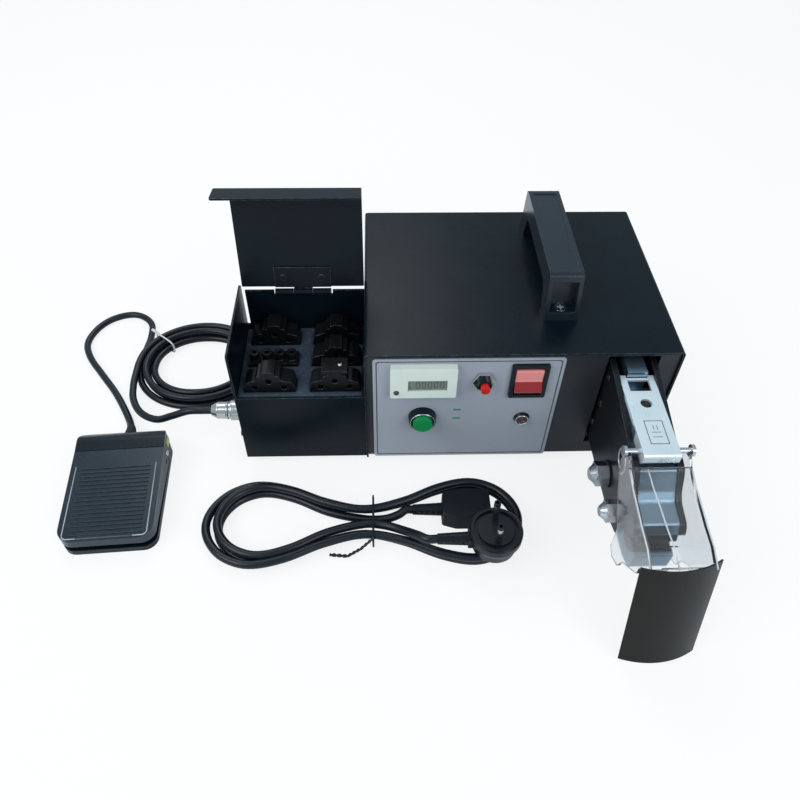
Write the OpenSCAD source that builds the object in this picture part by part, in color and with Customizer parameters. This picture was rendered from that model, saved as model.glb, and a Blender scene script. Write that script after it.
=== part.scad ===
/* [Housing] */
// Width of the housing
housing_w = 226; // [222:1:240]
// Depth of the chassis, without the overhang of its cover
housing_d = 171; // [168:1:185]
// Height of the housing above its feet
housing_h = 113.5; // [112:0.5:118]
// Thickness of the folded sheet steel
sheet_t = 1.5; // [1.2:0.1:1.8]
// Overhang of the cover past the front and rear walls
cover_overhang = 2; // [1:0.5:3]
// Diameter of a rubber foot
foot_d = 16; // [12:1:20]
// Height of a rubber foot
foot_h = 8; // [7:0.5:9]

/* [Carrying handle] */
// Length of the handle over its two feet
handle_l = 123; // [115:1:130]
// Height of the handle above the cover
handle_h = 36.5; // [34:0.5:42]
// Width of the handle
handle_w = 24.5; // [22:0.5:28]

/* [Die tray] */
// Width of the tray beside the housing
tray_w = 96; // [94:1:110]
// Depth of the tray
tray_d = 80; // [78:1:90]
// Height of the front wall above the feet
tray_front_h = 69; // [62:1:74]
// Height of the left wall above the feet
tray_side_h = 112; // [108:1:116]
// Diameter of a spare half-moon die
spare_d = 38; // [34:1:40]
// Thickness of a spare die
spare_t = 14; // [10:1:16]
// Angle between the closed lid and the lid as it stands open
lid_swing = 99; // [90:1:105]

/* [Control panel] */
// Width of the grey control plate
panel_w = 137; // [135:1:140]
// Height of the grey control plate
panel_h = 108.5; // [106:0.5:109]
// Diameter of the start button's bezel
button_bezel_d = 21.6; // [20:0.2:24]
// Diameter of the start button's cap
button_cap_d = 15.4; // [14:0.2:16.4]
// Width of the counter's bezel
counter_w = 48; // [46:0.5:50]
// Height of the counter's bezel
counter_h = 30; // [28:0.5:31]

/* [Crimping head] */
// Thickness of a side plate
plate_t = 4; // [3.5:0.1:4.4]
// Width of the gap between the side plates
jaw_gap = 25; // [24:0.5:26]
// Height of a side plate above its level lower edge
head_h = 82; // [81:0.5:84]
// Reach of the beak in front of the housing
head_reach = 116; // [114:0.5:118]
// Diameter of the lower jaw's pivot bolt
pivot_d = 10; // [8:0.5:11]
// Diameter of a working die
die_d = 24; // [20:0.5:26]
// Angle that the lower jaw opens
jaw_swing = 8; // [6:0.5:8]
// Angle that the cam turns for one stroke
cam_swing = 150; // [120:5:160]
// Diameter of the roller on the lower jaw's tail
roller_d = 14; // [12:0.5:14]
// Diameter of the cam shaft
cam_shaft_d = 14; // [12:0.5:15]

/* [Guard] */
// Thickness of the clear guard
guard_t = 2; // [1.6:0.1:2.2]
// Reach of the guard in front of its pivot
guard_reach = 76; // [72:1:80]
// Drop of the guard's lug below its pivot
guard_drop = 76; // [72:1:78]
// Width of the black flap
flap_w = 52; // [46:1:56]
// Length of the black flap
flap_l = 87; // [80:1:88]

/* [Foot pedal] */
// Width of the pedal
pedal_w = 68; // [64:1:74]
// Length of the pedal
pedal_l = 100; // [95:1:110]
// Height of the pedal at its rear hood
pedal_h = 27; // [25:0.5:30]
// Number of grip ribs on the tread
rib_count = 17; // [9:1:19]
// Diameter of the pedal's cord
cord_d = 6; // [5:0.1:6]

/* [Mains lead] */
// Diameter of the mains lead
lead_d = 6.5; // [6:0.1:7]
// Diameter of the round mains plug
plug_d = 38; // [36:0.5:40]

/* [Hidden] */

// Overrun of a cut past the face that it opens
cut = 1;
// Gap between faces that pass or nearly touch
gap = 0.3;
// Radial clearance of a shaft or pin in its bore
run_gap = 0.05;
// Clearance of a screw in its hole
screw_gap = 0.2;
// Angle of one step of a rounded corner
arc_step = 15;
$fn = 48;

black = "#1c1d20";
zinc = "#b9bcc2";
steel_blue = "#5d6f86";

// Levels and planes of the housing
wall_top = foot_h + housing_h;
cover_under = wall_top - sheet_t;
floor_top = foot_h + sheet_t;
bend_r = 2.5;
foot_inset = 20;

// Opening for the head in the front wall
head_inset = 18;
head_side_gap = 2;
head_right = housing_w - head_inset;
head_left = head_right - jaw_gap - 2 * plate_t;
jaw_left = head_left + plate_t;
jaw_right = head_right - plate_t;
jaw_mid = (jaw_left + jaw_right) / 2;
head_sill = 22;
head_bottom = head_sill + foot_h;
head_top = head_bottom + head_h;
plate_depth = 60;

// Centre of the pedal on the bench and its turn
pedal_at = [-191, -31];
pedal_turn = 3.5;

// Vector of unit length along v
function unit(v) = v / norm(v);
// Angle brought between minus and plus half a turn
function half_turn(angle) = angle > 180 ? angle - 360 : angle < -180 ? angle + 360 : angle;
// Plane vector turned by an angle
function turned(v, angle) = [v.x * cos(angle) - v.y * sin(angle), v.x * sin(angle) + v.y * cos(angle)];
// Arc of radius r that rounds the corner b between its neighbours a and c
function corner_arc(a, b, c, r) =
    let (u = unit(a - b), v = unit(c - b), half = acos(u * v) / 2,
        centre = b + unit(u + v) * r / sin(half),
        p = b + u * r / tan(half) - centre,
        q = b + v * r / tan(half) - centre,
        first = atan2(p.y, p.x), sweep = half_turn(atan2(q.y, q.x) - first),
        steps = max(1, ceil(abs(sweep) / arc_step)))
    [for (i = [0:steps]) centre + turned([r, 0], first + sweep * i / steps)];
// Outline through corners of the form [x, y] or, rounded, [x, y, radius]
function rounded(corners) = let (n = len(corners))
    [for (i = [0:n - 1])
        let (b = corners[i], a = corners[(i + n - 1) % n], c = corners[(i + 1) % n])
        each len(b) < 3 ? [b] : corner_arc([a.x, a.y], [b.x, b.y], [c.x, c.y], b[2])];
// Corners of a rectangle with one radius
function round_box(x, y, r) = rounded([[x[0], y[0], r], [x[1], y[0], r], [x[1], y[1], r], [x[0], y[1], r]]);

// Box between three ranges
module block(x, y, z) {
    translate([x[0], y[0], z[0]]) cube([x[1] - x[0], y[1] - y[0], z[1] - z[0]]);
}
// Outline in Y and Z that is carried along X over a range
module along_x(x) {
    translate([x[0], 0, 0]) rotate([90, 0, 90]) linear_extrude(x[1] - x[0]) children();
}
// Outline in X and Z that is carried along Y over a range
module along_y(y) {
    translate([0, y[1], 0]) rotate([90, 0, 0]) linear_extrude(y[1] - y[0]) children();
}
// Outline in X and Y that is carried along Z over a range
module along_z(z) {
    translate([0, 0, z[0]]) linear_extrude(z[1] - z[0]) children();
}
// Round bar along X with its axis at y and z
module bar_x(x, y, z, d) {
    translate([x[0], y, z]) rotate([0, 90, 0]) cylinder(d = d, h = x[1] - x[0]);
}
// Round bar along Y with its axis at x and z
module bar_y(x, y, z, d) {
    translate([x, y[0], z]) rotate([-90, 0, 0]) cylinder(d = d, h = y[1] - y[0]);
}
// Round bar along Z with its axis at x and y
module bar_z(x, y, z, d) {
    translate([x, y, z[0]]) cylinder(d = d, h = z[1] - z[0]);
}
// Six-sided bar along X with its axis at y and z
module hex_x(x, y, z, across) {
    translate([x[0], y, z]) rotate([0, 90, 0]) cylinder(d = across / cos(30), h = x[1] - x[0], $fn = 6);
}
// Six-sided bar along Y with its axis at x and z
module hex_y(x, y, z, across) {
    translate([x, y[0], z]) rotate([-90, 0, 0]) cylinder(d = across / cos(30), h = y[1] - y[0], $fn = 6);
}
// Children turned about an axis along X through y and z
module about_x(y, z, angle) {
    translate([0, y, z]) rotate([angle, 0, 0]) translate([0, -y, -z]) children();
}
// Whole machine moved so that its origin is under its centre
module placed() {
    translate([-origin_x, -origin_y, 0]) children();
}

// Handle seats on the cover
handle_share = 0.634;
handle_x = housing_w * handle_share;
handle_y0 = 33;
handle_y1 = handle_y0 + handle_l;
handle_screw_d = 5;
handle_head_d = 9;
handle_screw_inset = 7.5;
handle_screw_ys = [handle_y0 + handle_screw_inset, handle_y1 - handle_screw_inset];

// Screws in the two sides of the cover, from the front edge and from the feet
cover_screw_inset = 14;
cover_screw_rise = 8;
cover_screw_ys = [cover_screw_inset, housing_d - cover_screw_inset];

module housing_cover() {
    color(black) difference() {
        along_y([-cover_overhang, housing_d + cover_overhang]) difference() {
            polygon(rounded([[0, foot_h], [housing_w, foot_h], [housing_w, wall_top, bend_r],
                [0, wall_top, bend_r]]));
            polygon(rounded([[sheet_t, foot_h - cut], [housing_w - sheet_t, foot_h - cut],
                [housing_w - sheet_t, cover_under, bend_r - sheet_t], [sheet_t, cover_under,
                    bend_r - sheet_t]]));
        }
        for (y = handle_screw_ys) {
            bar_z(handle_x, y, [cover_under - cut, wall_top + cut], handle_screw_d + 2 * screw_gap);
        }
        for (y = cover_screw_ys) {
            bar_x([housing_w - sheet_t - cut, housing_w + cut], y, foot_h + cover_screw_rise,
                cover_screw_d + 2 * screw_gap);
        }
    }
}

// Places of the controls on the front wall
panel_x = 6;
panel_rise = 0.5;
panel_z = foot_h + panel_rise;
counter_inset = 12.4;
counter_x = panel_x + counter_inset;
counter_rise = 73.7;
counter_z = panel_z + counter_rise;
counter_depth = 30;
counter_wall = 2;
breaker_x = 86.3;
breaker_z = 95.7;
breaker_neck_d = 10;
rocker_x = 118.6;
rocker_z = 95.2;
rocker_frame_w = 27;
rocker_frame_h = 33;
rocker_body_w = 23;
rocker_body_h = 29;
button_x = 43;
button_z = 56;
barrel_d = 16;
led_x = 119;
led_z = 53.5;
led_d = 12.4;
led_neck_d = 9;

// Mains inlet in the rear wall
inlet_x = 40;
inlet_z = 60;
inlet_w = 27;
inlet_h = 20;
inlet_flange_w = 50;
inlet_flange_h = 23;

// Holes for the controls, through both the grey plate and the front wall
module control_holes(y) {
    block([counter_x + counter_wall, counter_x + counter_w - counter_wall], y,
        [counter_z + counter_wall, counter_z + counter_h - counter_wall]);
    bar_y(breaker_x, y, breaker_z, breaker_neck_d + 2 * screw_gap);
    block([rocker_x - rocker_body_w / 2 - gap, rocker_x + rocker_body_w / 2 + gap], y,
        [rocker_z - rocker_body_h / 2 - gap, rocker_z + rocker_body_h / 2 + gap]);
    bar_y(button_x, y, button_z, barrel_d + 2 * screw_gap);
    bar_y(led_x, y, led_z, led_neck_d + 2 * screw_gap);
}

chassis_flange_h = 16;
module base_chassis() {
    inner_x = [sheet_t, housing_w - sheet_t];
    color("#303236") difference() {
        union() {
            along_x(inner_x) difference() {
                polygon(rounded([[0, cover_under], [0, foot_h, bend_r], [housing_d, foot_h, bend_r],
                    [housing_d, cover_under]]));
                polygon(rounded([[sheet_t, cover_under + cut], [sheet_t, floor_top, bend_r - sheet_t],
                    [housing_d - sheet_t, floor_top, bend_r - sheet_t],
                    [housing_d - sheet_t, cover_under + cut]]));
            }
            for (x = [inner_x[0], inner_x[1] - sheet_t]) {
                block([x, x + sheet_t], [sheet_t, housing_d - sheet_t], [foot_h, foot_h + chassis_flange_h]);
            }
        }
        control_holes([-cut, sheet_t + cut]);
        block([head_left - head_side_gap, head_right + head_side_gap], [-cut, sheet_t + cut],
            [head_sill, head_top + head_side_gap * 2.5]);
        block([inlet_x - inlet_w / 2 - gap, inlet_x + inlet_w / 2 + gap],
            [housing_d - sheet_t - cut, housing_d + cut],
            [inlet_z - inlet_h / 2 - gap, inlet_z + inlet_h / 2 + gap]);
        for (y = cover_screw_ys) {
            bar_x([housing_w - 2 * sheet_t - cut, housing_w], y, foot_h + cover_screw_rise,
                cover_screw_d + 2 * screw_gap);
        }
    }
}

// Small cross-head screws that hold the sheet metal
cover_screw_d = 3;
cover_head_d = 5.5;
cover_head_h = 1.6;
cover_screw_l = 7;
tray_screw_rises = [25, 75];
tray_screw_zs = [for (rise = tray_screw_rises) foot_h + rise];
tray_screw_y = 5;
module cover_screws() {
    color(zinc) {
        for (y = cover_screw_ys) {
            bar_x([housing_w, housing_w + cover_head_h], y, foot_h + cover_screw_rise, cover_head_d);
            bar_x([housing_w - cover_screw_l, housing_w], y, foot_h + cover_screw_rise, cover_screw_d);
        }
        for (z = tray_screw_zs) {
            bar_x([-tray_w - cover_head_h, -tray_w], tray_screw_y, z, cover_head_d);
        }
    }
}

module rubber_feet() {
    taper = foot_d * 0.08;
    color("#141414")
        for (x = [foot_inset, housing_w - foot_inset]) {
            for (y = [foot_inset, housing_d - foot_inset]) {
                translate([x, y, 0]) cylinder(d1 = foot_d - 2 * taper, d2 = foot_d, h = foot_h);
            }
        }
}

// Die tray on the left of the housing
tray_back_drop = 9.5;
// Rise of the rear wall beside the hinge, and its clearance from the leaves
tray_back_rise = 4;
tray_notch = 1;
tray_back_h = tray_side_h - tray_back_drop;
tray_front_top = foot_h + tray_front_h;
tray_back_top = foot_h + tray_back_h;
tray_side_top = foot_h + tray_side_h;
tray_slit = 2.5;
tray_slit_h = 30;
aviation_y = 30;
aviation_z = 31;
aviation_hole_d = 12;
module storage_tray() {
    color(black) difference() {
        union() {
            block([-tray_w, 0], [0, tray_d], [foot_h, floor_top]);
            along_x([-tray_w, -tray_w + sheet_t])
                polygon(rounded([[0, foot_h], [tray_d, foot_h], [tray_d, tray_side_top, bend_r],
                    [0, tray_side_top, bend_r]]));
            block([-tray_w, 0], [0, sheet_t], [foot_h, tray_front_top]);
            block([-sheet_t, 0], [0, tray_d], [foot_h, tray_front_top]);
            block([-tray_w, 0], [tray_d - sheet_t, tray_d], [foot_h, tray_back_top]);
            for (x = [[-tray_w, leaf_x[0] - tray_notch], [leaf_x[1] + tray_notch, 0]]) {
                block(x, [tray_d - sheet_t, tray_d], [foot_h, tray_back_top + tray_back_rise]);
            }
        }
        block([-tray_w + sheet_t, -tray_w + sheet_t + tray_slit], [tray_d - sheet_t - cut, tray_d + cut],
            [tray_back_top - tray_slit_h, tray_back_top + tray_back_rise + cut]);
        bar_x([-tray_w - cut, -tray_w + sheet_t + cut], aviation_y, aviation_z,
            aviation_hole_d + 2 * screw_gap);
    }
}

// Spare dies stand in pockets of the foam in two columns and three rows
foam_top = tray_front_top - gap;
foam_x = [-tray_w + sheet_t + gap, -sheet_t - gap];
foam_y = [sheet_t + gap, tray_d - sheet_t - gap];
column_shares = [0.256, 0.782];
row_shares = [0.17, 0.52, 0.835];
function column_x(i) = foam_x[0] + (foam_x[1] - foam_x[0]) * column_shares[i];
function row_y(i) = foam_y[0] + (foam_y[1] - foam_y[0]) * row_shares[i];
spare_sink = 12;
// Clear depth behind the wall where the plug's socket stands in the foam
aviation_depth = 16;
aviation_nut_d = 18;
module foam_insert() {
    color("#2b3038") difference() {
        block(foam_x, foam_y, [floor_top + gap, foam_top]);
        for (i = [0, 1], j = [0, 1, 2]) {
            block([column_x(i) - spare_d / 2 - gap, column_x(i) + spare_d / 2 + gap],
                [row_y(j) - spare_t / 2 - gap, row_y(j) + spare_t / 2 + gap],
                [foam_top - spare_sink - gap, foam_top + cut]);
        }
        bar_x([foam_x[0] - cut, -tray_w + aviation_depth + gap], aviation_y, aviation_z,
            aviation_nut_d + 2 * gap);
    }
}

// Half-moon die: a round back above a flat foot, with crimping nests in its face
nest_shares = [[-0.28, 0.1], [0, 0.26], [0.28, 0.1]];
// Outline of a die as shares of its width, and the corner radius: shoulders, waist and raised middle
spare_shares = [[0.5, 0.2, 0.03], [0.33, 0.27, 0.03], [0.25, 0.28, 0.02], [0.22, 0.4, 0.02],
    [0.14, 0.41, 0.02], [0.12, 0.5, 0.01], [-0.12, 0.5, 0.01], [-0.14, 0.41, 0.02], [-0.22, 0.4, 0.02],
    [-0.25, 0.28, 0.02], [-0.33, 0.27, 0.03], [-0.5, 0.2, 0.03]];
nest_d_share = 0.13;
module spare_die(x, y) {
    nest_d = spare_d * nest_d_share;
    translate([x, y + spare_t / 2, foam_top]) rotate([90, 0, 0]) linear_extrude(spare_t) difference() {
        intersection() {
            circle(d = spare_d);
            polygon(rounded(concat([[-spare_d / 2, -spare_sink], [spare_d / 2, -spare_sink]],
                [for (share = spare_shares) share * spare_d])));
        }
        for (share = nest_shares) {
            translate(share * spare_d) circle(d = nest_d);
        }
    }
}
module spare_dies_left() {
    color("#26282c") for (j = [0, 2]) spare_die(column_x(0), row_y(j));
}
module spare_dies_right() {
    plate_w = spare_d * 0.5;
    plate_h = sheet_t;
    color("#26282c") {
        for (j = [0, 1, 2]) spare_die(column_x(1), row_y(j));
        block([column_x(1) - plate_w / 2, column_x(1) + plate_w / 2],
            [row_y(0) - spare_t / 2, row_y(0) + spare_t / 2],
            [foam_top + spare_d * 0.45, foam_top + spare_d / 2 + plate_h]);
    }
}
// Row of small terminal locators on one bar
locator_count = 4;
module spare_locators() {
    x0 = column_x(0) - spare_d / 2;
    step = spare_d / locator_count;
    top = foam_top + spare_d * 0.22;
    color("#26282c") difference() {
        union() {
            block([x0, x0 + spare_d], [row_y(1) - spare_t / 2, row_y(1) + spare_t / 2],
                [foam_top - spare_sink, foam_top + spare_d * 0.05]);
            for (i = [0:locator_count - 1]) {
                bar_z(x0 + (i + 0.5) * step, row_y(1), [foam_top, top], step * 0.8);
            }
        }
        for (i = [0:locator_count - 1]) {
            bar_z(x0 + (i + 0.5) * step, row_y(1), [top - step / 2, top + cut], step * 0.4);
        }
    }
}

// Butt hinge between the tray's rear wall and the lid
knuckle_d = 5;
leaf_t = 1.25;
leaf_w = 43;
leaf_h = 20;
pin_d = 2.5;
hinge_shift = 1;
hinge_x = -tray_w / 2 + hinge_shift;
hinge_y = tray_d - leaf_t;
hinge_z = tray_back_top + knuckle_d / 2 + gap;
leaf_x = [hinge_x - leaf_w / 2, hinge_x + leaf_w / 2];
knuckle_l = leaf_w / 3;
leaf_screw_d = 3;
leaf_head_d = 5;
leaf_head_h = 1;
leaf_screw_xs = [hinge_x - knuckle_l, hinge_x + knuckle_l];
// Zones of the knuckles along the pin: outer two on the wall, the middle one on the lid
outer_zones = [[leaf_x[0], leaf_x[0] + knuckle_l - gap], [leaf_x[1] - knuckle_l + gap, leaf_x[1]]];
middle_zone = [leaf_x[0] + knuckle_l, leaf_x[1] - knuckle_l];
module wall_hinge_leaf() {
    face_y = tray_d;
    color(zinc) {
        difference() {
            union() {
                block(leaf_x, [face_y, face_y + leaf_t], [tray_back_top - leaf_h, tray_back_top - gap]);
                for (zone = outer_zones) {
                    block(zone, [face_y, face_y + leaf_t], [tray_back_top - leaf_h, hinge_z]);
                    bar_x(zone, hinge_y, hinge_z, knuckle_d);
                }
            }
            bar_x([leaf_x[0] - cut, leaf_x[1] + cut], hinge_y, hinge_z, pin_d + 2 * run_gap);
        }
        for (x = leaf_screw_xs) {
            bar_y(x, [face_y + leaf_t, face_y + leaf_t + leaf_head_h], tray_back_top - leaf_h / 2,
                leaf_head_d);
        }
    }
}
module hinge_pin() {
    color("#d5d8dc") bar_x(leaf_x, hinge_y, hinge_z, pin_d);
}

// Lid, drawn closed over the tray and then swung up to where it stands
lid_t = sheet_t;
lid_edge = 3;
lid_lip_h = 18;
lid_ear = 9;
lid_front_y = -gap - sheet_t;
module lid_open() {
    about_x(hinge_y, hinge_z, -lid_swing) children();
}
lid_z = hinge_z + knuckle_d / 2;
module lid_panel() {
    color(black) lid_open() {
        along_z([lid_z, lid_z + lid_t])
            polygon(round_box([-tray_w + sheet_t + gap, -gap], [lid_front_y, hinge_y - lid_edge],
                sheet_t / 2));
        along_y([lid_front_y - sheet_t / 2, lid_front_y + sheet_t / 2])
            polygon(rounded([[-tray_w - lid_ear, lid_z + lid_t - lid_lip_h, sheet_t],
                [-gap, lid_z + lid_t - lid_lip_h, sheet_t], [-gap, lid_z + lid_t],
                [-tray_w - lid_ear, lid_z + lid_t, sheet_t]]));
    }
}
module lid_hinge_leaf() {
    color(zinc) lid_open() {
        difference() {
            union() {
                block(leaf_x, [hinge_y - leaf_h, hinge_y - lid_edge], [lid_z - leaf_t, lid_z]);
                block(middle_zone, [hinge_y - leaf_h, hinge_y], [lid_z - leaf_t, lid_z]);
                bar_x(middle_zone, hinge_y, hinge_z, knuckle_d);
            }
            bar_x([leaf_x[0] - cut, leaf_x[1] + cut], hinge_y, hinge_z, pin_d + 2 * run_gap);
        }
        for (x = leaf_screw_xs) {
            bar_z(x, hinge_y - leaf_h / 2 - lid_edge / 2, [lid_z - leaf_t - leaf_head_h, lid_z - leaf_t],
                leaf_head_d);
        }
    }
}

// Bridge handle with a recess and a screw foot at each end
handle_wall = 3;
handle_slope = 6.5;
handle_foot_t = 6.5;
handle_leg = 15;
handle_grip_t = 17;
handle_head_h = 3;
module carry_handle() {
    top = wall_top + handle_h;
    grip_z = top - handle_grip_t;
    legs = [handle_y0 + handle_leg, handle_y1 - handle_leg];
    hand_gap = [[legs[0] + handle_slope, grip_z, handle_slope], [legs[1] - handle_slope, grip_z,
        handle_slope]];
    sides = [handle_x - handle_w / 2, handle_x + handle_w / 2];
    inside = [sides[0] + handle_wall, sides[1] - handle_wall];
    color("#111214") difference() {
        along_x(sides) polygon(rounded([[handle_y0, wall_top], [legs[0], wall_top], hand_gap[0], hand_gap[1],
            [legs[1], wall_top], [handle_y1, wall_top],
            [handle_y1 - handle_slope, top, handle_slope * 0.7], [handle_y0 + handle_slope, top,
                handle_slope * 0.7]]));
        for (side = [0, 1]) {
            outer = side == 0 ? handle_y0 - cut : handle_y1 + cut;
            inner = side == 0 ? legs[0] - handle_wall : legs[1] + handle_wall;
            sill = wall_top + handle_foot_t;
            lintel = top - handle_wall * 2;
            along_x(inside) polygon([[outer, sill], [inner, sill],
                [inner + (side == 0 ? 1 : -1) * handle_slope * 0.8, lintel], [outer, lintel]]);
            bar_z(handle_x, handle_screw_ys[side], [wall_top - cut, sill + cut],
                handle_screw_d + 2 * screw_gap);
            bar_z(handle_x, handle_screw_ys[side], [sill - handle_head_h, sill + cut],
                handle_head_d + 2 * screw_gap);
        }
        along_x([inside[0], inside[1]]) polygon(round_box(
            [handle_y0 + handle_slope * 2, handle_y1 - handle_slope * 2], [top - sheet_t / 2, top + cut],
                gap));
    }
}
module handle_screws() {
    seat = wall_top + handle_foot_t - handle_head_h;
    socket_d = 1.2;
    color(zinc) for (y = handle_screw_ys) {
        difference() {
            union() {
                bar_z(handle_x, y, [seat, seat + handle_head_h], handle_head_d);
                bar_z(handle_x, y, [cover_under - handle_head_d, seat], handle_screw_d);
            }
            for (turn = [0, 90]) {
                translate([handle_x, y, seat + handle_head_h - socket_d / 2]) rotate([0, 0, turn])
                    cube([handle_screw_d, socket_d, socket_d * 2], center = true);
            }
        }
    }
}

// Grey control plate on the front wall
plate_front = -1;
module control_panel() {
    color("#8f959c") difference() {
        along_y([plate_front, 0])
            polygon(round_box([panel_x, panel_x + panel_w], [panel_z, panel_z + panel_h], bend_r));
        control_holes([plate_front - cut, cut]);
    }
}

// Counter with a window and a reset key
counter_proud = 5;
window_inset_shares = [0.275, 0.85];
window_rise_shares = [0.25, 0.585];
counter_key_d = 3.4;
counter_key_x = counter_x + counter_w * 0.095;
counter_key_z = counter_z + counter_h * 0.2;
counter_key_travel = 1;
function counter_window_x(i) = counter_x + counter_w * window_inset_shares[i];
function counter_window_z(i) = counter_z + counter_h * window_rise_shares[i];
module counter_body() {
    front = plate_front - counter_proud;
    color("#d9ddd2") difference() {
        union() {
            along_y([front, plate_front])
                polygon(round_box([counter_x, counter_x + counter_w], [counter_z, counter_z + counter_h],
                    sheet_t));
            block([counter_x + counter_wall + gap, counter_x + counter_w - counter_wall - gap],
                [plate_front, counter_depth],
                [counter_z + counter_wall + gap, counter_z + counter_h - counter_wall - gap]);
        }
        block([counter_window_x(0) - gap, counter_window_x(1) + gap], [front - cut, front + counter_wall],
            [counter_window_z(0) - gap, counter_window_z(1) + gap]);
        bar_y(counter_key_x, [front - cut, front + counter_proud - sheet_t], counter_key_z,
            counter_key_d + 2 * gap);
    }
}
module counter_window() {
    front = plate_front - counter_proud;
    color("#3a4148") block([counter_window_x(0), counter_window_x(1)],
        [front + counter_wall / 2, front + counter_wall], [counter_window_z(0), counter_window_z(1)]);
}
module counter_key() {
    front = plate_front - counter_proud;
    color("#2a2b2e") bar_y(counter_key_x, [front - counter_key_travel, front + counter_proud - sheet_t
        - counter_key_travel - gap], counter_key_z, counter_key_d);
}

// Overload breaker with a push button through its neck
breaker_w = 14;
breaker_depth = 35;
breaker_nut_w = 15;
breaker_nut_t = 3;
breaker_neck_l = 7;
breaker_button_d = 6.6;
breaker_travel = 3;
module breaker_body() {
    color("#1a1a1c") difference() {
        union() {
            along_y([sheet_t, breaker_depth]) polygon(round_box([breaker_x - breaker_w / 2,
                breaker_x + breaker_w / 2],
                [breaker_z - breaker_w / 2, breaker_z + breaker_w / 2], sheet_t));
            bar_y(breaker_x, [plate_front - breaker_neck_l, sheet_t], breaker_z, breaker_neck_d);
        }
        bar_y(breaker_x, [plate_front - breaker_neck_l - cut, sheet_t + breaker_travel * 2], breaker_z,
            breaker_button_d + 2 * gap);
    }
}
module breaker_nut() {
    color("#d9dce0") difference() {
        hex_y(breaker_x, [plate_front - breaker_nut_t, plate_front], breaker_z, breaker_nut_w);
        bar_y(breaker_x, [plate_front - breaker_nut_t - cut, plate_front + cut], breaker_z,
            breaker_neck_d + 2 * run_gap);
    }
}
module breaker_button() {
    color("#b81f1c") bar_y(breaker_x, [plate_front - breaker_neck_l - breaker_travel - sheet_t,
        sheet_t + breaker_travel - gap], breaker_z, breaker_button_d);
}

// Mains rocker switch, resting with its upper half pressed in
rocker_depth = 25;
rocker_proud = 2.5;
rocker_w = 20;
rocker_h = 26;
rocker_tilt = 10;
rocker_sink = 6;
rocker_r = 3;
rocker_axis_y = plate_front + rocker_r / 2;
rocker_pin_d = 2.4;
rocker_pin_l = 0.8;
module rocker_frame() {
    front = plate_front - rocker_proud;
    color("#151618") difference() {
        union() {
            along_y([front, plate_front]) polygon(round_box([rocker_x - rocker_frame_w / 2,
                rocker_x + rocker_frame_w / 2],
                [rocker_z - rocker_frame_h / 2, rocker_z + rocker_frame_h / 2], sheet_t));
            block([rocker_x - rocker_body_w / 2, rocker_x + rocker_body_w / 2], [plate_front, rocker_depth],
                [rocker_z - rocker_body_h / 2, rocker_z + rocker_body_h / 2]);
        }
        block([rocker_x - rocker_w / 2 - gap, rocker_x + rocker_w / 2 + gap], [front - cut,
            plate_front + 2 * rocker_sink],
            [rocker_z - rocker_h / 2 - 2 * gap, rocker_z + rocker_h / 2 + 2 * gap]);
        bar_x([rocker_x - rocker_w / 2 - rocker_pin_l - gap, rocker_x + rocker_w / 2 + rocker_pin_l + gap],
            rocker_axis_y, rocker_z, rocker_pin_d + 2 * run_gap);
    }
}
module rocker() {
    crown = rocker_h * 0.1;
    axis_y = rocker_axis_y;
    color("#c0201c") {
        bar_x([rocker_x - rocker_w / 2 - rocker_pin_l, rocker_x + rocker_w / 2 + rocker_pin_l],
            axis_y, rocker_z, rocker_pin_d);
        about_x(axis_y, rocker_z, -rocker_tilt) along_x([rocker_x - rocker_w / 2, rocker_x + rocker_w / 2])
        polygon(rounded([[axis_y - rocker_r - crown, rocker_z - rocker_h / 2 + crown, sheet_t],
            [axis_y - rocker_r, rocker_z, sheet_t],
            [axis_y - rocker_r - crown, rocker_z + rocker_h / 2 - crown, sheet_t],
            [axis_y + rocker_r, rocker_z + rocker_h / 2 - crown, sheet_t],
            [axis_y + rocker_r + crown, rocker_z], [axis_y + rocker_r, rocker_z - rocker_h / 2 + crown,
                sheet_t]]));
    }
}

// Green start button: bezel and barrel with a contact block behind the wall
bezel_proud = 6;
bezel_floor = 1;
bezel_lip = 1.5;
button_travel = 3;
cap_proud = 3;
cap_shoulder = 2;
barrel_bore_d = button_cap_d + 2 * (gap - cap_shoulder);
contact_w = 24;
contact_h = 20;
contact_depth = 45;
barrel_l = 14;
module button_bezel() {
    color("#1a1b1d") difference() {
        union() {
            translate([button_x, plate_front, button_z]) rotate([90, 0, 0])
                cylinder(d1 = button_bezel_d, d2 = button_bezel_d - bezel_lip, h = bezel_proud);
            bar_y(button_x, [plate_front, barrel_l], button_z, barrel_d);
            block([button_x - contact_w / 2, button_x + contact_w / 2], [barrel_l, contact_depth],
                [button_z - contact_h / 2, button_z + contact_h / 2]);
        }
        bar_y(button_x, [plate_front - bezel_proud - cut, plate_front - bezel_floor], button_z,
            button_cap_d + 2 * gap);
        bar_y(button_x, [plate_front - bezel_floor - cut, barrel_l - sheet_t], button_z,
            barrel_bore_d + 2 * gap);
    }
}
module green_button() {
    front = plate_front - bezel_proud - cap_proud;
    back = plate_front - bezel_floor - button_travel - gap;
    color("#1f9a4a") {
        translate([button_x, back, button_z]) rotate([90, 0, 0])
            cylinder(d1 = button_cap_d, d2 = button_cap_d - bezel_lip / 2, h = back - front);
        bar_y(button_x, [back, barrel_l - sheet_t - button_travel - gap], button_z, barrel_bore_d);
    }
}

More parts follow.
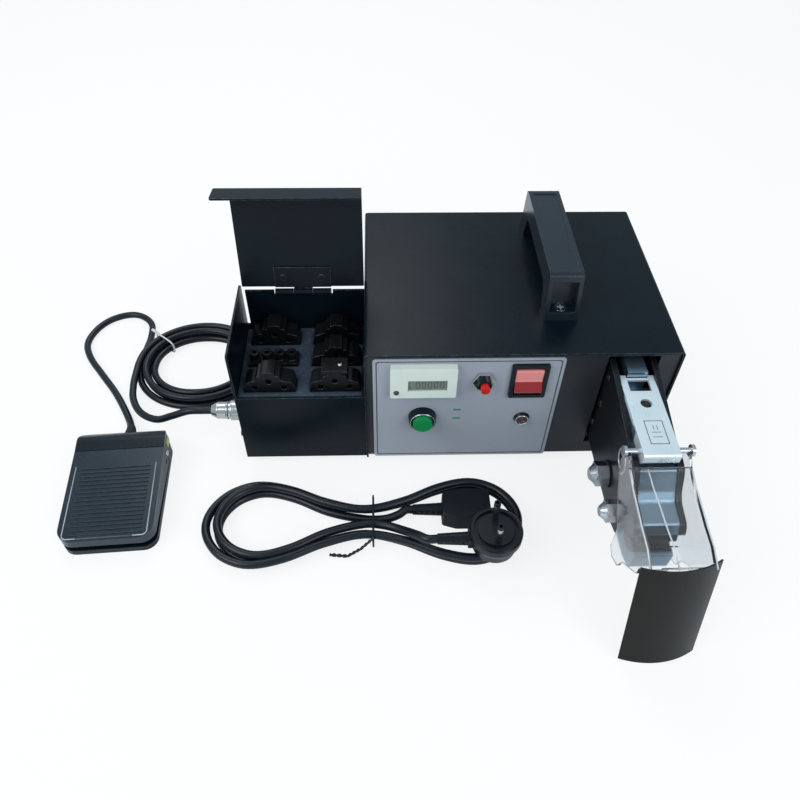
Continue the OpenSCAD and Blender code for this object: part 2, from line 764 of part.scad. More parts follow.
// Indicator lamp holder and its lens
led_proud = 2.5;
led_depth = 15;
led_lens_d = 7.4;
module led_bezel() {
    color("#1b1c1e") difference() {
        union() {
            translate([led_x, plate_front, led_z]) rotate([90, 0, 0])
                cylinder(d1 = led_d, d2 = led_d * 0.8, h = led_proud);
            bar_y(led_x, [plate_front, led_depth], led_z, led_neck_d);
        }
        bar_y(led_x, [plate_front - led_proud - cut, led_depth - led_proud], led_z, led_lens_d);
    }
}
module led_lens() {
    color("#5a1414") translate([led_x, 0, led_z]) rotate([90, 0, 0]) {
        cylinder(d = led_lens_d - 2 * run_gap, h = -plate_front + led_proud);
        translate([0, 0, -plate_front + led_proud - led_lens_d * 0.35])
            intersection() {
                sphere(d = led_lens_d - 2 * run_gap);
                translate([-led_lens_d, -led_lens_d, 0]) cube(2 * led_lens_d);
            }
    }
}

// Head: pivot, cam and die places in Y and Z
pivot_y = -52;
pivot_rise = 19.5;
pivot_z = head_bottom + pivot_rise;
front_bolt_y = -85;
front_bolt_rise = 21;
front_bolt_z = head_bottom + front_bolt_rise;
cam_y = 28;
cam_rise = 34.5;
cam_z = head_bottom + cam_rise;
die_y = -head_reach + die_d / 2;
die_rise = 30;
die_z = head_bottom + die_rise;
ring_hole_y = -66.5;
ring_hole_rise = 54;
ring_hole_z = head_bottom + ring_hole_rise;
ring_hole_d = 16;
bearing_d = 24;
front_bolt_d = 8;
// Outline of a side plate: y as a share of the reach, z as a share of its height, radius as a share of both
plate_shares = [[-0.69, 0, 0.02], [-0.797, 0.045, 0.02], [-0.836, 0.244, 0.04], [-0.793, 0.341, 0.03],
    [-0.759, 0.378, 0.02], [-0.966, 0.39, 0.03], [-1, 0.451, 0.02], [-0.966, 0.537, 0.03], [-0.836, 0.573,
        0.04],
    [-0.793, 0.634, 0.04], [-0.724, 0.835, 0.05], [-0.534, 0.848, 0.03], [-0.129, 0.97, 0.05], [0, 1, 0.05]];
function plate_point(share) = [share.x * head_reach, head_bottom + share.y * head_h, share[2]
    * (head_h + head_reach)];
module plate_outline() {
    difference() {
        polygon(rounded(concat([[sheet_t + gap, head_bottom]],
            [for (share = plate_shares) plate_point(share)],
            [[plate_depth, head_top, bend_r], [plate_depth, floor_top], [sheet_t + 2 * cut, floor_top],
                [sheet_t + 2 * cut, head_bottom - cut]])));
        translate([pivot_y, pivot_z]) circle(d = pivot_d + 2 * run_gap);
        translate([front_bolt_y, front_bolt_z]) circle(d = front_bolt_d + 2 * run_gap);
        translate([cam_y, cam_z]) circle(d = bearing_d);
        translate([ring_hole_y, ring_hole_z]) circle(d = ring_hole_d);
    }
}
module head_plate(x) {
    along_x([x, x + plate_t]) plate_outline();
}
module head_plate_left() {
    color("#202226") head_plate(head_left);
}
module head_plate_right() {
    color("#202226") head_plate(jaw_right);
}

// Fixed upper jaw between the plates, hollowed over the lower jaw's knuckle
knuckle_r = 10;
jaw_drop = 6;
jaw_top = head_top - jaw_drop;
jaw_rear_y = -12;
step_w = 13.8;
step_l = 22;
// Dark window between the step and the bracket's plate, and the depth of the jaw's notch below it
window_y = [-25, -14.4];
window_depth = 9;
upper_jaw_shares = [[-0.5, 0.37, 0.01], [-0.97, 0.37, 0.01], [-0.99, 0.44, 0.01], [-0.96, 0.53, 0.02],
    [-0.83, 0.56, 0.03],
    [-0.785, 0.63, 0.03], [-0.722, 0.79, 0.01], [-0.5, 0.8, 0.01]];
module upper_jaw() {
    color(steel_blue) {
        along_x([jaw_left, jaw_right]) difference() {
            polygon(rounded(concat([for (share = upper_jaw_shares) plate_point(share)],
                [[-0.47 * head_reach, jaw_top], [window_y[0], jaw_top], [window_y[0], jaw_top - window_depth],
                    [jaw_rear_y, jaw_top - window_depth], [jaw_rear_y, die_z + gap]])));
            translate([pivot_y, pivot_z]) circle(r = knuckle_r + gap * 2);
            translate([die_y, die_z]) circle(d = die_d + 2 * gap);
            translate([ring_hole_y, ring_hole_z]) circle(d = ring_hole_d);
        }
        block([jaw_mid - step_w / 2, jaw_mid + step_w / 2], [jaw_rear_y, step_l / 2],
            [jaw_top - step_l / 2, head_top + cut]);
    }
}

// Working die: half a disc with crimping nests on its flat face
die_nest_shares = [-0.3, 0, 0.28];
die_nest_d_shares = [0.16, 0.22, 0.12];
module die_half(side) {
    face = gap / 2;
    difference() {
        intersection() {
            circle(d = die_d);
            translate([-die_d, side > 0 ? face : -die_d - face]) square([2 * die_d, die_d]);
        }
        for (i = [0:len(die_nest_shares) - 1]) {
            translate([die_nest_shares[i] * die_d, 0]) circle(d = die_nest_d_shares[i] * die_d);
        }
    }
}
module upper_die() {
    color("#8a9098") along_x([jaw_left + gap, jaw_right - gap]) translate([die_y, die_z]) die_half(1);
}

// Lower jaw, drawn closed and swung open by its full angle
module jaw_open() {
    about_x(pivot_y, pivot_z, jaw_swing) children();
}
tail_at = [80, -15.5];
roller_pin_d = 6;
lower_jaw_shares = [[-1.03, 0.36, 0.005], [-0.776, 0.36, 0.003], [-0.77, 0.17, 0.01], [-0.52, 0.17, 0.02],
    [-0.38, 0.22, 0.02], [-0.3, 0.14, 0.02]];
lower_front_shares = [[0.3, 0.125, 0.02], [0.3, -0.03, 0.02], [-0.3, -0.02, 0.03], [-0.62, 0.015, 0.02],
    [-0.93, 0.075, 0.02], [-1.04, 0.15, 0.02]];
module lower_jaw() {
    ear = plate_t * 1.5;
    roller_y = pivot_y + tail_at.x;
    roller_z = pivot_z + tail_at.y;
    color(steel_blue) jaw_open() difference() {
        along_x([jaw_left + gap, jaw_right - gap]) difference() {
            union() {
                polygon(rounded([for (share = concat(lower_jaw_shares,
                    lower_front_shares)) plate_point(share)]));
                translate([pivot_y, pivot_z]) circle(r = knuckle_r);
            }
            translate([pivot_y, pivot_z]) circle(d = pivot_d + 2 * run_gap);
            translate([die_y, die_z]) circle(d = die_d + 2 * gap);
        }
        block([jaw_left + ear, jaw_right - ear], [roller_y - roller_d * 0.6, roller_y + roller_d],
            [roller_z - roller_d, roller_z + roller_d]);
        bar_x([jaw_left, jaw_right], roller_y, roller_z, roller_pin_d + 2 * run_gap);
    }
}
module lower_die() {
    color("#8a9098") jaw_open() along_x([jaw_left + gap, jaw_right - gap]) translate([die_y,
        die_z]) die_half(-1);
}
module jaw_roller() {
    ear = plate_t * 1.5;
    roller_y = pivot_y + tail_at.x;
    roller_z = pivot_z + tail_at.y;
    color("#c9ccd1") jaw_open() {
        bar_x([jaw_left + ear + gap, jaw_right - ear - gap], roller_y, roller_z, roller_d);
        bar_x([jaw_left + gap, jaw_right - gap], roller_y, roller_z, roller_pin_d);
    }
}

// Cam whose edge keeps the jaw's angle in a constant ratio to its own
cam_steps = 25;
cam_t = 12;
// Place of the roller seen from the cam's centre when the cam has turned by an angle
function roller_from_cam(angle) =
    [pivot_y - cam_y, pivot_z - cam_z] + turned(tail_at, jaw_swing - jaw_swing * angle / cam_swing);
// The same place carried into the turning cam
function cam_path(angle) = turned(roller_from_cam(angle), angle);
// Point of the cam's edge: the path moved inward by the roller's radius
function cam_edge(angle) =
    let (step = 1, along = unit(cam_path(angle + step) - cam_path(angle - step)),
        inward = turned(along, 90))
    cam_path(angle) + inward * (roller_d / 2 + gap);
cam_low = norm(cam_edge(0));
cam_high = norm(cam_edge(cam_swing));
cam_end_angle = atan2(cam_edge(cam_swing).y, cam_edge(cam_swing).x);
cam_start_angle = atan2(cam_edge(0).y, cam_edge(0).x);
cam_dwell = 15;
cam_return = 360 - half_turn(cam_end_angle - cam_start_angle) - 2 * cam_dwell;
return_steps = 18;
cam_outline = concat([for (i = [0:cam_steps]) cam_edge(cam_swing * i / cam_steps)],
    [turned([cam_high, 0], cam_end_angle + cam_dwell)],
    [for (i = [1:return_steps - 1]) let (share = i / return_steps)
        turned([cam_high + (cam_low - cam_high) * (1 - cos(180 * share)) / 2, 0],
            cam_end_angle + cam_dwell + cam_return * share)]);
bearing_proud = 2;
shaft_end = 6;
gearbox_gap = 3;
gearbox_x = [head_left - gearbox_gap - 35, head_left - gearbox_gap];
gear_hub_l = 10;
module cam_shaft() {
    color("#aeb3ba") {
        along_x([jaw_mid - cam_t / 2, jaw_mid + cam_t / 2]) translate([cam_y, cam_z]) polygon(cam_outline);
        bar_x([gearbox_x[1] - gear_hub_l + gap, head_right + shaft_end], cam_y, cam_z, cam_shaft_d);
    }
}
module cam_bearings() {
    color("#c9ccd1") for (x = [head_left, jaw_right]) {
        difference() {
            bar_x([x, x + plate_t], cam_y, cam_z, bearing_d);
            bar_x([x - cut, x + plate_t + cut], cam_y, cam_z, cam_shaft_d + 2 * run_gap);
        }
    }
}

// Cross bolts with domed nuts on the left and flat six-sided ends on the right
nut_w = 16;
nut_l = 8;
dome_l = 4;
washer_d = 20;
washer_t = 1.5;
hex_end = 4;
front_nut_w = 14;
module cross_bolt(y, z, d, across) {
    left = head_left - washer_t;
    bar_x([left, head_right], y, z, d);
    hex_x([left - nut_l, left], y, z, across);
    translate([left - nut_l, y, z]) rotate([0, -90, 0]) cylinder(d1 = across * 0.94, d2 = across * 0.5,
        h = dome_l);
    hex_x([head_right, head_right + hex_end], y, z, across);
}
module through_bolts() {
    color("#c4c8cd") {
        cross_bolt(pivot_y, pivot_z, pivot_d, nut_w);
        cross_bolt(front_bolt_y, front_bolt_z, front_bolt_d, front_nut_w);
    }
}
module bolt_washers() {
    color("#1b1c1e") for (bolt = [[pivot_y, pivot_z, pivot_d], [front_bolt_y, front_bolt_z, front_bolt_d]]) {
        difference() {
            bar_x([head_left - washer_t, head_left], bolt[0], bolt[1], washer_d);
            bar_x([head_left - washer_t - cut, head_left + cut], bolt[0], bolt[1], bolt[2] + 2 * run_gap);
        }
    }
}

// Folded bracket on top of the head that carries the guard
bracket_t = 2;
bracket_x = [jaw_left + gap, jaw_right - gap];
bracket_y = [-82, -10];
bracket_top = jaw_top + bracket_t;
fold_h = 7;
flange_h = 11.5;
flange_l = 20;
fork_w = step_w + 4 * gap;
guard_inset = 8;
guard_sink = 4.5;
guard_y = bracket_y[0] + guard_inset;
guard_z = bracket_top - guard_sink;
guard_pin_d = 4;
bracket_hole_d = 8;
bracket_hole_y = -36.5;
module top_bracket() {
    color(zinc) difference() {
        union() {
            along_x(bracket_x) difference() {
                polygon(rounded([[bracket_y[1], jaw_top], [bracket_y[1], bracket_top], [bracket_y[0],
                    bracket_top, bend_r],
                    [bracket_y[0], bracket_top - fold_h], [bracket_y[0] + bracket_t, bracket_top - fold_h],
                    [bracket_y[0] + bracket_t, jaw_top, bracket_t / 4]]));
            }
            for (x = [bracket_x[0], bracket_x[1] - bracket_t]) {
                along_x([x, x + bracket_t]) polygon(rounded([[bracket_y[0] + bracket_t,
                    jaw_top + bracket_t / 2],
                    [bracket_y[0] + bracket_t, bracket_top - flange_h, bracket_t],
                    [bracket_y[0] + flange_l, bracket_top - flange_h, bracket_t],
                    [bracket_y[0] + flange_l + bracket_t, jaw_top + bracket_t / 2]]));
            }
        }
        for (zone = [window_y, [jaw_rear_y - 2 * gap, bracket_y[1] + cut]]) {
            block([jaw_mid - fork_w / 2, jaw_mid + fork_w / 2], zone, [jaw_top - cut, bracket_top + cut]);
        }
        bar_z(jaw_mid + 2 * gap, bracket_hole_y, [jaw_top - cut, bracket_top + cut], bracket_hole_d);
        bar_x([bracket_x[0] - cut, bracket_x[1] + cut], guard_y, guard_z, guard_pin_d + 2 * run_gap);
    }
}

// Clear guard: two cheeks and a bent roof that swing on the bracket's flanges
guard_side_gap = 1.1;
guard_gap = 4 * gap + guard_side_gap;
guard_x = [head_left - guard_gap - guard_t, head_right + guard_gap + guard_t];
// Cheek outline: y as a share of the reach, z as a share of the drop, both from the pivot, then the radius
cheek_shares = [[0.02, 0.06, 0.05], [0.04, -0.17, 0.05], [-0.02, -0.32, 0.05], [-0.16, -0.5, 0.05], [-0.34,
    -0.69, 0.05],
    [-0.34, -0.95, 0.03], [-0.43, -1, 0.02], [-0.57, -0.93, 0.02], [-0.61, -0.79, 0.03], [-0.75, -0.65, 0.03],
    [-0.87, -0.53, 0.03], [-0.87, -0.44, 0.03]];
roof_shares = [[-1, -0.23], [-0.83, -0.165], [-0.65, -0.152], [-0.47, -0.125], [-0.3, -0.105], [-0.13,
    -0.06]];
function guard_point(share) = [guard_y + share.x * guard_reach, guard_z + share.y * guard_drop];
module guard() {
    roof_top = [for (share = roof_shares) guard_point(share)];
    roof_under = [for (i = [len(roof_top) - 1:-1:0]) roof_top[i] - [0, guard_t]];
    color([0.82, 0.88, 0.92, 0.35]) difference() {
        union() {
            for (x = [guard_x[0], guard_x[1] - guard_t]) {
                along_x([x, x + guard_t]) polygon(rounded(concat(
                    [for (share = cheek_shares) concat(guard_point(share), [share[2] * guard_reach])],
                        roof_top)));
            }
            along_x([guard_x[0] + guard_t / 2, guard_x[1] - guard_t / 2]) polygon(concat(roof_top,
                roof_under));
            along_x([jaw_left, jaw_right]) polygon([roof_top[0], roof_top[0] + [guard_t, -guard_t],
                roof_top[0] + [0, -flap_tab], roof_top[0] + [-guard_t, -flap_tab]]);
        }
        bar_x([guard_x[0] - cut, guard_x[1] + cut], guard_y, guard_z, guard_pin_d + 2 * run_gap);
        flap_sheet(flap_r - flap_t - gap, flap_r + flap_tab);
    }
}
flap_tab = 10;
flap_t = 1;
flap_r = 55;
flap_tilt = 13;
flap_yaw = 5;
flap_steps = 36;
flap_edge = asin(flap_w / 2 / flap_r);
flap_angles = [for (i = [0:flap_steps]) -90 - flap_edge + 2 * flap_edge * i / flap_steps];
flap_top = guard_point(roof_shares[0]) + [-guard_t - gap, guard_t];
// Depth of the flap's lower edge at an angle round its curve
function flap_foot(a) = flap_top.x + flap_r * cos(a) * sin(flap_yaw) + cos(flap_yaw)
    * ((flap_r - flap_t + flap_r * sin(a)) * cos(flap_tilt) - flap_l * sin(flap_tilt));
// Bent sheet between two radii, in the flap's place
module flap_sheet(inner_r, outer_r) {
    translate([jaw_mid, flap_top.x, flap_top.y]) rotate([-flap_tilt, 0, flap_yaw])
        translate([0, flap_r - flap_t, -flap_l]) linear_extrude(flap_l) polygon(concat(
            [for (a = flap_angles) turned([outer_r, 0], a)],
            [for (i = [flap_steps:-1:0]) turned([inner_r, 0], flap_angles[i])]));
}
module guard_flap() {
    color("#0f1012") flap_sheet(flap_r - flap_t, flap_r);
}
module guard_pivot_screws() {
    head_d = guard_pin_d * 2;
    head_h = guard_pin_d * 0.6;
    color("#c4c8cd") {
        bar_x([guard_x[0] - head_h, bracket_x[0] + bracket_t + guard_t], guard_y, guard_z, guard_pin_d);
        bar_x([guard_x[0] - head_h, guard_x[0] - gap], guard_y, guard_z, head_d);
        bar_x([bracket_x[1] - bracket_t - guard_t, guard_x[1] + head_h], guard_y, guard_z, guard_pin_d);
        bar_x([guard_x[1] + gap, guard_x[1] + head_h], guard_y, guard_z, head_d);
    }
}

// Drive inside the housing
gearbox_y = [6, 90];
gearbox_z = [38, 92];
motor_d = 50;
motor_l = 80;
motor_y = 64;
module gearbox() {
    r = 8;
    color("#7d8288") difference() {
        union() {
            along_x(gearbox_x) polygon(round_box(gearbox_y, gearbox_z, r));
            along_x([gearbox_x[0] + r, gearbox_x[1] - r]) polygon([[gearbox_y[0] + r, gearbox_z[0] + r],
                [gearbox_y[0] + r, floor_top], [gearbox_y[1] - r, floor_top], [gearbox_y[1] - r,
                    gearbox_z[0] + r]]);
            bar_x([gearbox_x[1], gearbox_x[1] + gearbox_gap - gap], cam_y, cam_z, cam_shaft_d * 1.6);
        }
        bar_x([gearbox_x[1] - gear_hub_l, gearbox_x[1] + gearbox_gap], cam_y, cam_z,
            cam_shaft_d + 2 * run_gap);
    }
}
module motor() {
    cap_l = 6;
    cap_d = motor_d * 0.9;
    color("#55595f") {
        bar_x([gearbox_x[0] - motor_l + cap_l, gearbox_x[0]], motor_y, cam_z, motor_d);
        bar_x([gearbox_x[0] - motor_l, gearbox_x[0] - motor_l + cap_l], motor_y, cam_z, cap_d);
    }
}
// Circuit board on four posts, with a transformer, a capacitor and a relay
board_x = [12, 52];
board_y = [60, 140];
board_rise = 8;
board_t = 1.6;
module control_board() {
    top = floor_top + board_rise + board_t;
    post = 4;
    color("#1f5b35") {
        block(board_x, board_y, [top - board_t, top]);
        for (x = [board_x[0] + post, board_x[1] - post], y = [board_y[0] + post, board_y[1] - post]) {
            bar_z(x, y, [floor_top, top - board_t], post);
        }
        block([board_x[0] + post, board_x[0] + 7 * post], [board_y[0] + 2 * post, board_y[0] + 9 * post],
            [top, top + 6 * post]);
        bar_z(board_x[1] - 3 * post, board_y[1] - 4 * post, [top, top + 7 * post], 4 * post);
        block([board_x[0] + post, board_x[0] + 4 * post], [board_y[1] - 7 * post, board_y[1] - 2 * post],
            [top, top + 4 * post]);
    }
}

// Mains inlet with three blades in its recess
inlet_depth = 24;
inlet_wall = 1.5;
inlet_flange_t = 2.5;
blade_w = 4;
blade_t = 2;
blade_l = 14;
blade_shares = [[-0.26, 0.1], [0.26, 0.1], [0, 0.3]];
module inlet_socket() {
    face = housing_d + inlet_flange_t;
    color("#18191b") {
        difference() {
            union() {
                along_y([housing_d, face]) polygon(round_box([inlet_x - inlet_flange_w / 2,
                    inlet_x + inlet_flange_w / 2],
                    [inlet_z - inlet_flange_h / 2, inlet_z + inlet_flange_h / 2], bend_r));
                block([inlet_x - inlet_w / 2, inlet_x + inlet_w / 2], [face - inlet_depth, face],
                    [inlet_z - inlet_h / 2, inlet_z + inlet_h / 2]);
            }
            block([inlet_x - inlet_w / 2 + inlet_wall, inlet_x + inlet_w / 2 - inlet_wall],
                [face - inlet_depth + inlet_wall, face + cut],
                [inlet_z - inlet_h / 2 + inlet_wall, inlet_z + inlet_h / 2 - inlet_wall]);
        }
        for (share = blade_shares) {
            translate([inlet_x + share.x * inlet_w, face - inlet_depth + inlet_wall / 2,
                inlet_z + share.y * inlet_h])
                translate([-blade_t / 2, 0, -blade_w / 2]) cube([blade_t, blade_l, blade_w]);
        }
    }
}

// Round connector for the pedal on the tray's left wall
aviation_d = 16;
socket_proud = 8;
socket_nut_t = 3;
module aviation_socket() {
    color("#c9ccd1") {
        bar_x([-tray_w - sheet_t, -tray_w], aviation_y, aviation_z, aviation_nut_d);
        bar_x([-tray_w - socket_proud, -tray_w - sheet_t], aviation_y, aviation_z, aviation_hole_d);
        bar_x([-tray_w, -tray_w + aviation_depth - gap], aviation_y, aviation_z, aviation_hole_d);
        hex_x([-tray_w + sheet_t, -tray_w + sheet_t + socket_nut_t], aviation_y, aviation_z, aviation_d);
    }
}
plug_l = 27;
plug_nose = -tray_w - sheet_t - gap;
module pedal_plug() {
    ring_l = plug_l * 0.42;
    shell_l = plug_l * 0.4;
    shell_d = aviation_d * 0.85;
    tail_l = plug_l - ring_l - shell_l;
    color("#c9ccd1") difference() {
        union() {
            bar_x([plug_nose - ring_l, plug_nose], aviation_y, aviation_z, aviation_d);
            bar_x([plug_nose - ring_l - shell_l, plug_nose - ring_l], aviation_y, aviation_z, shell_d);
            translate([plug_nose - plug_l, aviation_y, aviation_z]) rotate([0, 90, 0])
                cylinder(d1 = cord_d * 1.4, d2 = shell_d, h = tail_l);
        }
        bar_x([plug_nose - socket_proud + sheet_t, plug_nose + cut], aviation_y, aviation_z,
            aviation_hole_d + 2 * gap);
    }
}

// Foot pedal, drawn about its own centre: front at minus y, hinge near the rear
pedal_r = 10;
pedal_base_h = 5;
pedal_front_h = 19;
pedal_hood_y = pedal_l * 0.275;
pedal_hinge_y = pedal_l * 0.22;
pedal_hinge_z = 13;
pedal_pin_d = 4;
pedal_wall = 2.5;
pedal_press = 4;
pedal_core_inset = 6;
pedal_core_h = 9.5;
cord_exit_z = 8;
module pedal_placed() {
    translate([pedal_at.x, pedal_at.y, 0]) rotate([0, 0, pedal_turn]) children();
}
// Height of the pedal's top at a distance along it
function pedal_top(y) = pedal_front_h + (pedal_h - pedal_front_h) * (y / pedal_l + 0.5);
module pedal_base() {
    half_w = pedal_w / 2;
    rear = pedal_l / 2;
    core = [[-half_w + pedal_core_inset, half_w - pedal_core_inset],
        [-rear + pedal_core_inset, pedal_hinge_y - pedal_pin_d * 2]];
    ear = [half_w - 3 * pedal_wall, half_w - 2 * pedal_wall];
    color("#2c2e31") pedal_placed() difference() {
        union() {
            along_z([0, pedal_base_h]) polygon(round_box([-half_w, half_w], [-rear, rear], pedal_r));
            along_z([0, pedal_core_h]) polygon(round_box(core[0], core[1], pedal_wall));
            intersection() {
                along_z([0, pedal_h]) polygon(round_box([-half_w, half_w], [-rear, rear], pedal_r));
                along_x([-half_w, half_w]) polygon(rounded([[pedal_hood_y, 0], [rear, 0],
                    [rear, pedal_h * 0.7, pedal_r], [rear - pedal_r, pedal_h, pedal_r],
                    [pedal_hood_y, pedal_top(pedal_hood_y)]]));
            }
            for (side = [-1, 1]) {
                along_x(side > 0 ? ear : [-ear[1], -ear[0]]) polygon(rounded([
                    [pedal_hinge_y - pedal_pin_d, 0], [pedal_hood_y + cut, 0],
                    [pedal_hood_y + cut, pedal_hinge_z + pedal_pin_d],
                    [pedal_hinge_y - pedal_pin_d, pedal_hinge_z + pedal_pin_d, pedal_pin_d * 0.9]]));
            }
        }
        bar_x([-half_w, half_w], pedal_hinge_y, pedal_hinge_z, pedal_pin_d + 2 * run_gap);
    }
}
rib_t = 1.2;
rib_h = 1;
rib_field_shares = [-0.46, 0.1];
module pedal_tread() {
    half_w = pedal_w / 2;
    front = -pedal_l / 2;
    back = pedal_hood_y - gap * 2;
    skirt_front = pedal_base_h + gap + tan(pedal_press) * (pedal_hinge_y - front);
    rib_x = [-half_w + pedal_r * 0.8, half_w - pedal_r * 0.8];
    rib_y = [for (share = rib_field_shares) share * pedal_l];
    color("#232528") pedal_placed() difference() {
        union() {
            difference() {
                intersection() {
                    along_z([0, pedal_h + rib_h]) polygon(rounded([[-half_w, front, pedal_r], [half_w,
                        front, pedal_r],
                        [half_w, back], [-half_w, back]]));
                    along_x([-half_w, half_w]) polygon(rounded([[front, skirt_front], [front,
                        pedal_top(front), bend_r],
                        [back, pedal_top(back)], [back, pedal_base_h + 3 * gap]]));
                }
                intersection() {
                    along_z([0, pedal_h]) polygon(rounded([
                        [-half_w + pedal_wall, front + pedal_wall, pedal_r - pedal_wall],
                        [half_w - pedal_wall, front + pedal_wall, pedal_r - pedal_wall],
                        [half_w - pedal_wall, back + cut], [-half_w + pedal_wall, back + cut]]));
                    along_x([-half_w, half_w]) polygon([[front, 0], [front, pedal_top(front) - pedal_wall],
                        [back + cut, pedal_top(back) - pedal_wall], [back + cut, 0]]);
                }
            }
            for (i = [0:rib_count - 1]) {
                y = rib_y[0] + (rib_y[1] - rib_y[0]) * i / (rib_count - 1);
                along_x(rib_x) polygon([[y - rib_t / 2, pedal_top(y) - pedal_wall / 2], [y - rib_t / 2,
                    pedal_top(y) + rib_h / 2],
                    [y - rib_t / 4, pedal_top(y) + rib_h], [y + rib_t / 4, pedal_top(y) + rib_h],
                    [y + rib_t / 2, pedal_top(y) + rib_h / 2], [y + rib_t / 2,
                        pedal_top(y) - pedal_wall / 2]]);
            }
        }
        bar_x([-half_w - cut, half_w + cut], pedal_hinge_y, pedal_hinge_z, pedal_pin_d + 2 * run_gap);
    }
}
module pedal_pin() {
    half_w = pedal_w / 2;
    color(zinc) pedal_placed() bar_x([-half_w + sheet_t / 2, half_w - sheet_t / 2], pedal_hinge_y,
        pedal_hinge_z, pedal_pin_d);
}

// Ring of points about a place p, square to a direction, cut flat where it meets the bench
function ring(p, along, r, sides) =
    let (side = unit(cross(along, [0, 0, 1])), up = cross(side, along))
    [for (i = [0:sides - 1]) let (a = 360 * (i + 0.5) / sides, q = p + r * (cos(a) * side + sin(a) * up))
        [q.x, q.y, max(0, q.z)]];
// Direction of a route at its point i
function heading(route, i) = unit(route[min(i + 1, len(route) - 1)] - route[max(i - 1, 0)]);
// Tube of one solid along a route
module tube(route, r, sides) {
    n = len(route);
    points = [for (i = [0:n - 1]) each ring(route[i], heading(route, i), r, sides)];
    walls = [for (i = [0:n - 2], j = [0:sides - 1])
        let (a = i * sides + j, b = i * sides + (j + 1) % sides)
        each [[a, b, a + sides], [b, b + sides, a + sides]]];
    first = [for (j = [1:sides - 2]) [0, j + 1, j]];
    last = [for (j = [1:sides - 2]) [(n - 1) * sides, (n - 1) * sides + j, (n - 1) * sides + j + 1]];
    polyhedron(points, concat(walls, first, last));
}
// Smooth curve through hand-chosen points, with a few steps between each two
route_steps = 3;
function smooth(p) = let (n = len(p))
    concat([for (i = [0:n - 2], k = [0:route_steps - 1])
        let (t = k / route_steps, a = p[max(i - 1, 0)], b = p[i], c = p[i + 1], d = p[min(i + 2, n - 1)])
        ((2 * b) + (c - a) * t + (2 * a - 5 * b + 4 * c - d) * t * t + (3 * b - a - 3 * c + d) * t * t * t) / 2],
        [p[n - 1]]);
// Least gap of a tube to itself, measured between points that are more than a few rings apart
apart = 4;
function least_gap(route, d) = min([for (i = [0:len(route) - 1 - apart], j = [i + apart:len(route) - 1])
    norm(route[i] - route[j])]) - d;

// Flat share of a cord's diameter that it loses where it lies on the bench
flat_share = 0.1;
cord_low = cord_d * (0.5 - flat_share);
lead_low = lead_d * (0.5 - flat_share);
layer_gap = 0.45;

// Coil of the pedal's cord beside the tray, wound in and out again in two layers
coil_at = [-150, 108];
coil_half = [55, 50];
coil_turns = 4;
coil_rings = 24;
coil_spare = 1;
coil_pitch = cord_d + coil_spare;
// Height of a piled winding at a share of its way: low, then a climb of half a turn, then high
function pile(share, turns, low, step) = low + step * min(1, max(0, (share - 0.5) * turns * 2 + 0.5));
function coil_point(i) =
    let (share = i / (coil_turns * coil_rings), angle = 180 + 360 * coil_turns * share,
        inset = coil_pitch * coil_turns / 2 * (1 - abs(1 - 2 * share)))
    [coil_at.x + (coil_half.x - inset) * cos(angle), coil_at.y + (coil_half.y - inset) * sin(angle),
        pile(share, coil_turns, cord_low, cord_d + layer_gap)];
coil_loops = [for (i = [0:coil_turns * coil_rings]) coil_point(i)];
coil_start = coil_loops[0];
coil_end = coil_loops[len(coil_loops) - 1];
coil_route = concat([coil_start + [0, cord_d, 0]], coil_loops, [coil_end - [0, cord_d, 0]]);
module pedal_coil() {
    echo(coil_least_gap = least_gap(coil_loops, cord_d));
    color("#16171a") tube(coil_route, cord_d / 2, 6);
}

// Free stretch from the pedal to the coil
pedal_cord_points = [[-195, 19.6, 8], [-195, 25, 8], [-197, 34, 4.5], [-201, 44, 2.4], [-211, 62, 2.4],
    [-222, 79, 2.4],
    [-238, 100, 2.4], [-254, 122, 2.4], [-261, 141, 2.4], [-256, 162, 2.4], [-243, 176, 2.4], [-224, 180,
        2.4],
    [-208, 168, 2.4], [-204, 148, 2.4], [-205, 130, 2.4], [-205, 120, 2.4]];
// Free stretch from the coil to the round plug
plug_cord_points = [[-205, 102, 8.9], [-205, 94, 8.9], [-204, 80, 9.4], [-200, 62, 10], [-190, 46, 11],
    [-174, 35, 15],
    [-158, 31, 24], [-144, 30, 30.5], [-133, 30, 31], [-125, 30, 31]];
module pedal_cord() {
    color("#16171a") tube(concat(smooth(pedal_cord_points), [coil_start + [0, cord_d, 0]]), cord_d / 2, 8);
}
module plug_cord() {
    color("#16171a") tube(concat([coil_end - [0, cord_d, 0]], smooth([for (i = [1:len(plug_cord_points) - 1])
        plug_cord_points[i]])), cord_d / 2, 8);
}
// White tie over the coil
tie_t = 1.2;
tie_w = 5;
tie_angle = 140;
module coil_tie() {
    at = [coil_at.x + (coil_half.x - coil_pitch) * cos(tie_angle),
        coil_at.y + (coil_half.y - coil_pitch) * sin(tie_angle)];
    half_w = coil_pitch + cord_d / 2 + 2 * gap;
    top = cord_low + cord_d * 1.5 + layer_gap + gap;
    color("#e8e8e4") translate([at.x, at.y, 0]) rotate([0, 0, tie_angle]) along_y([-tie_w / 2,
        tie_w / 2]) difference() {
        polygon(rounded([[-half_w - tie_t, 0], [half_w + tie_t, 0], [half_w + tie_t, top + tie_t, tie_t * 2],
            [-half_w - tie_t, top + tie_t, tie_t * 2]]));
        polygon(rounded([[-half_w, -cut], [half_w, -cut], [half_w, top, tie_t], [-half_w, top, tie_t]]));
    }
}

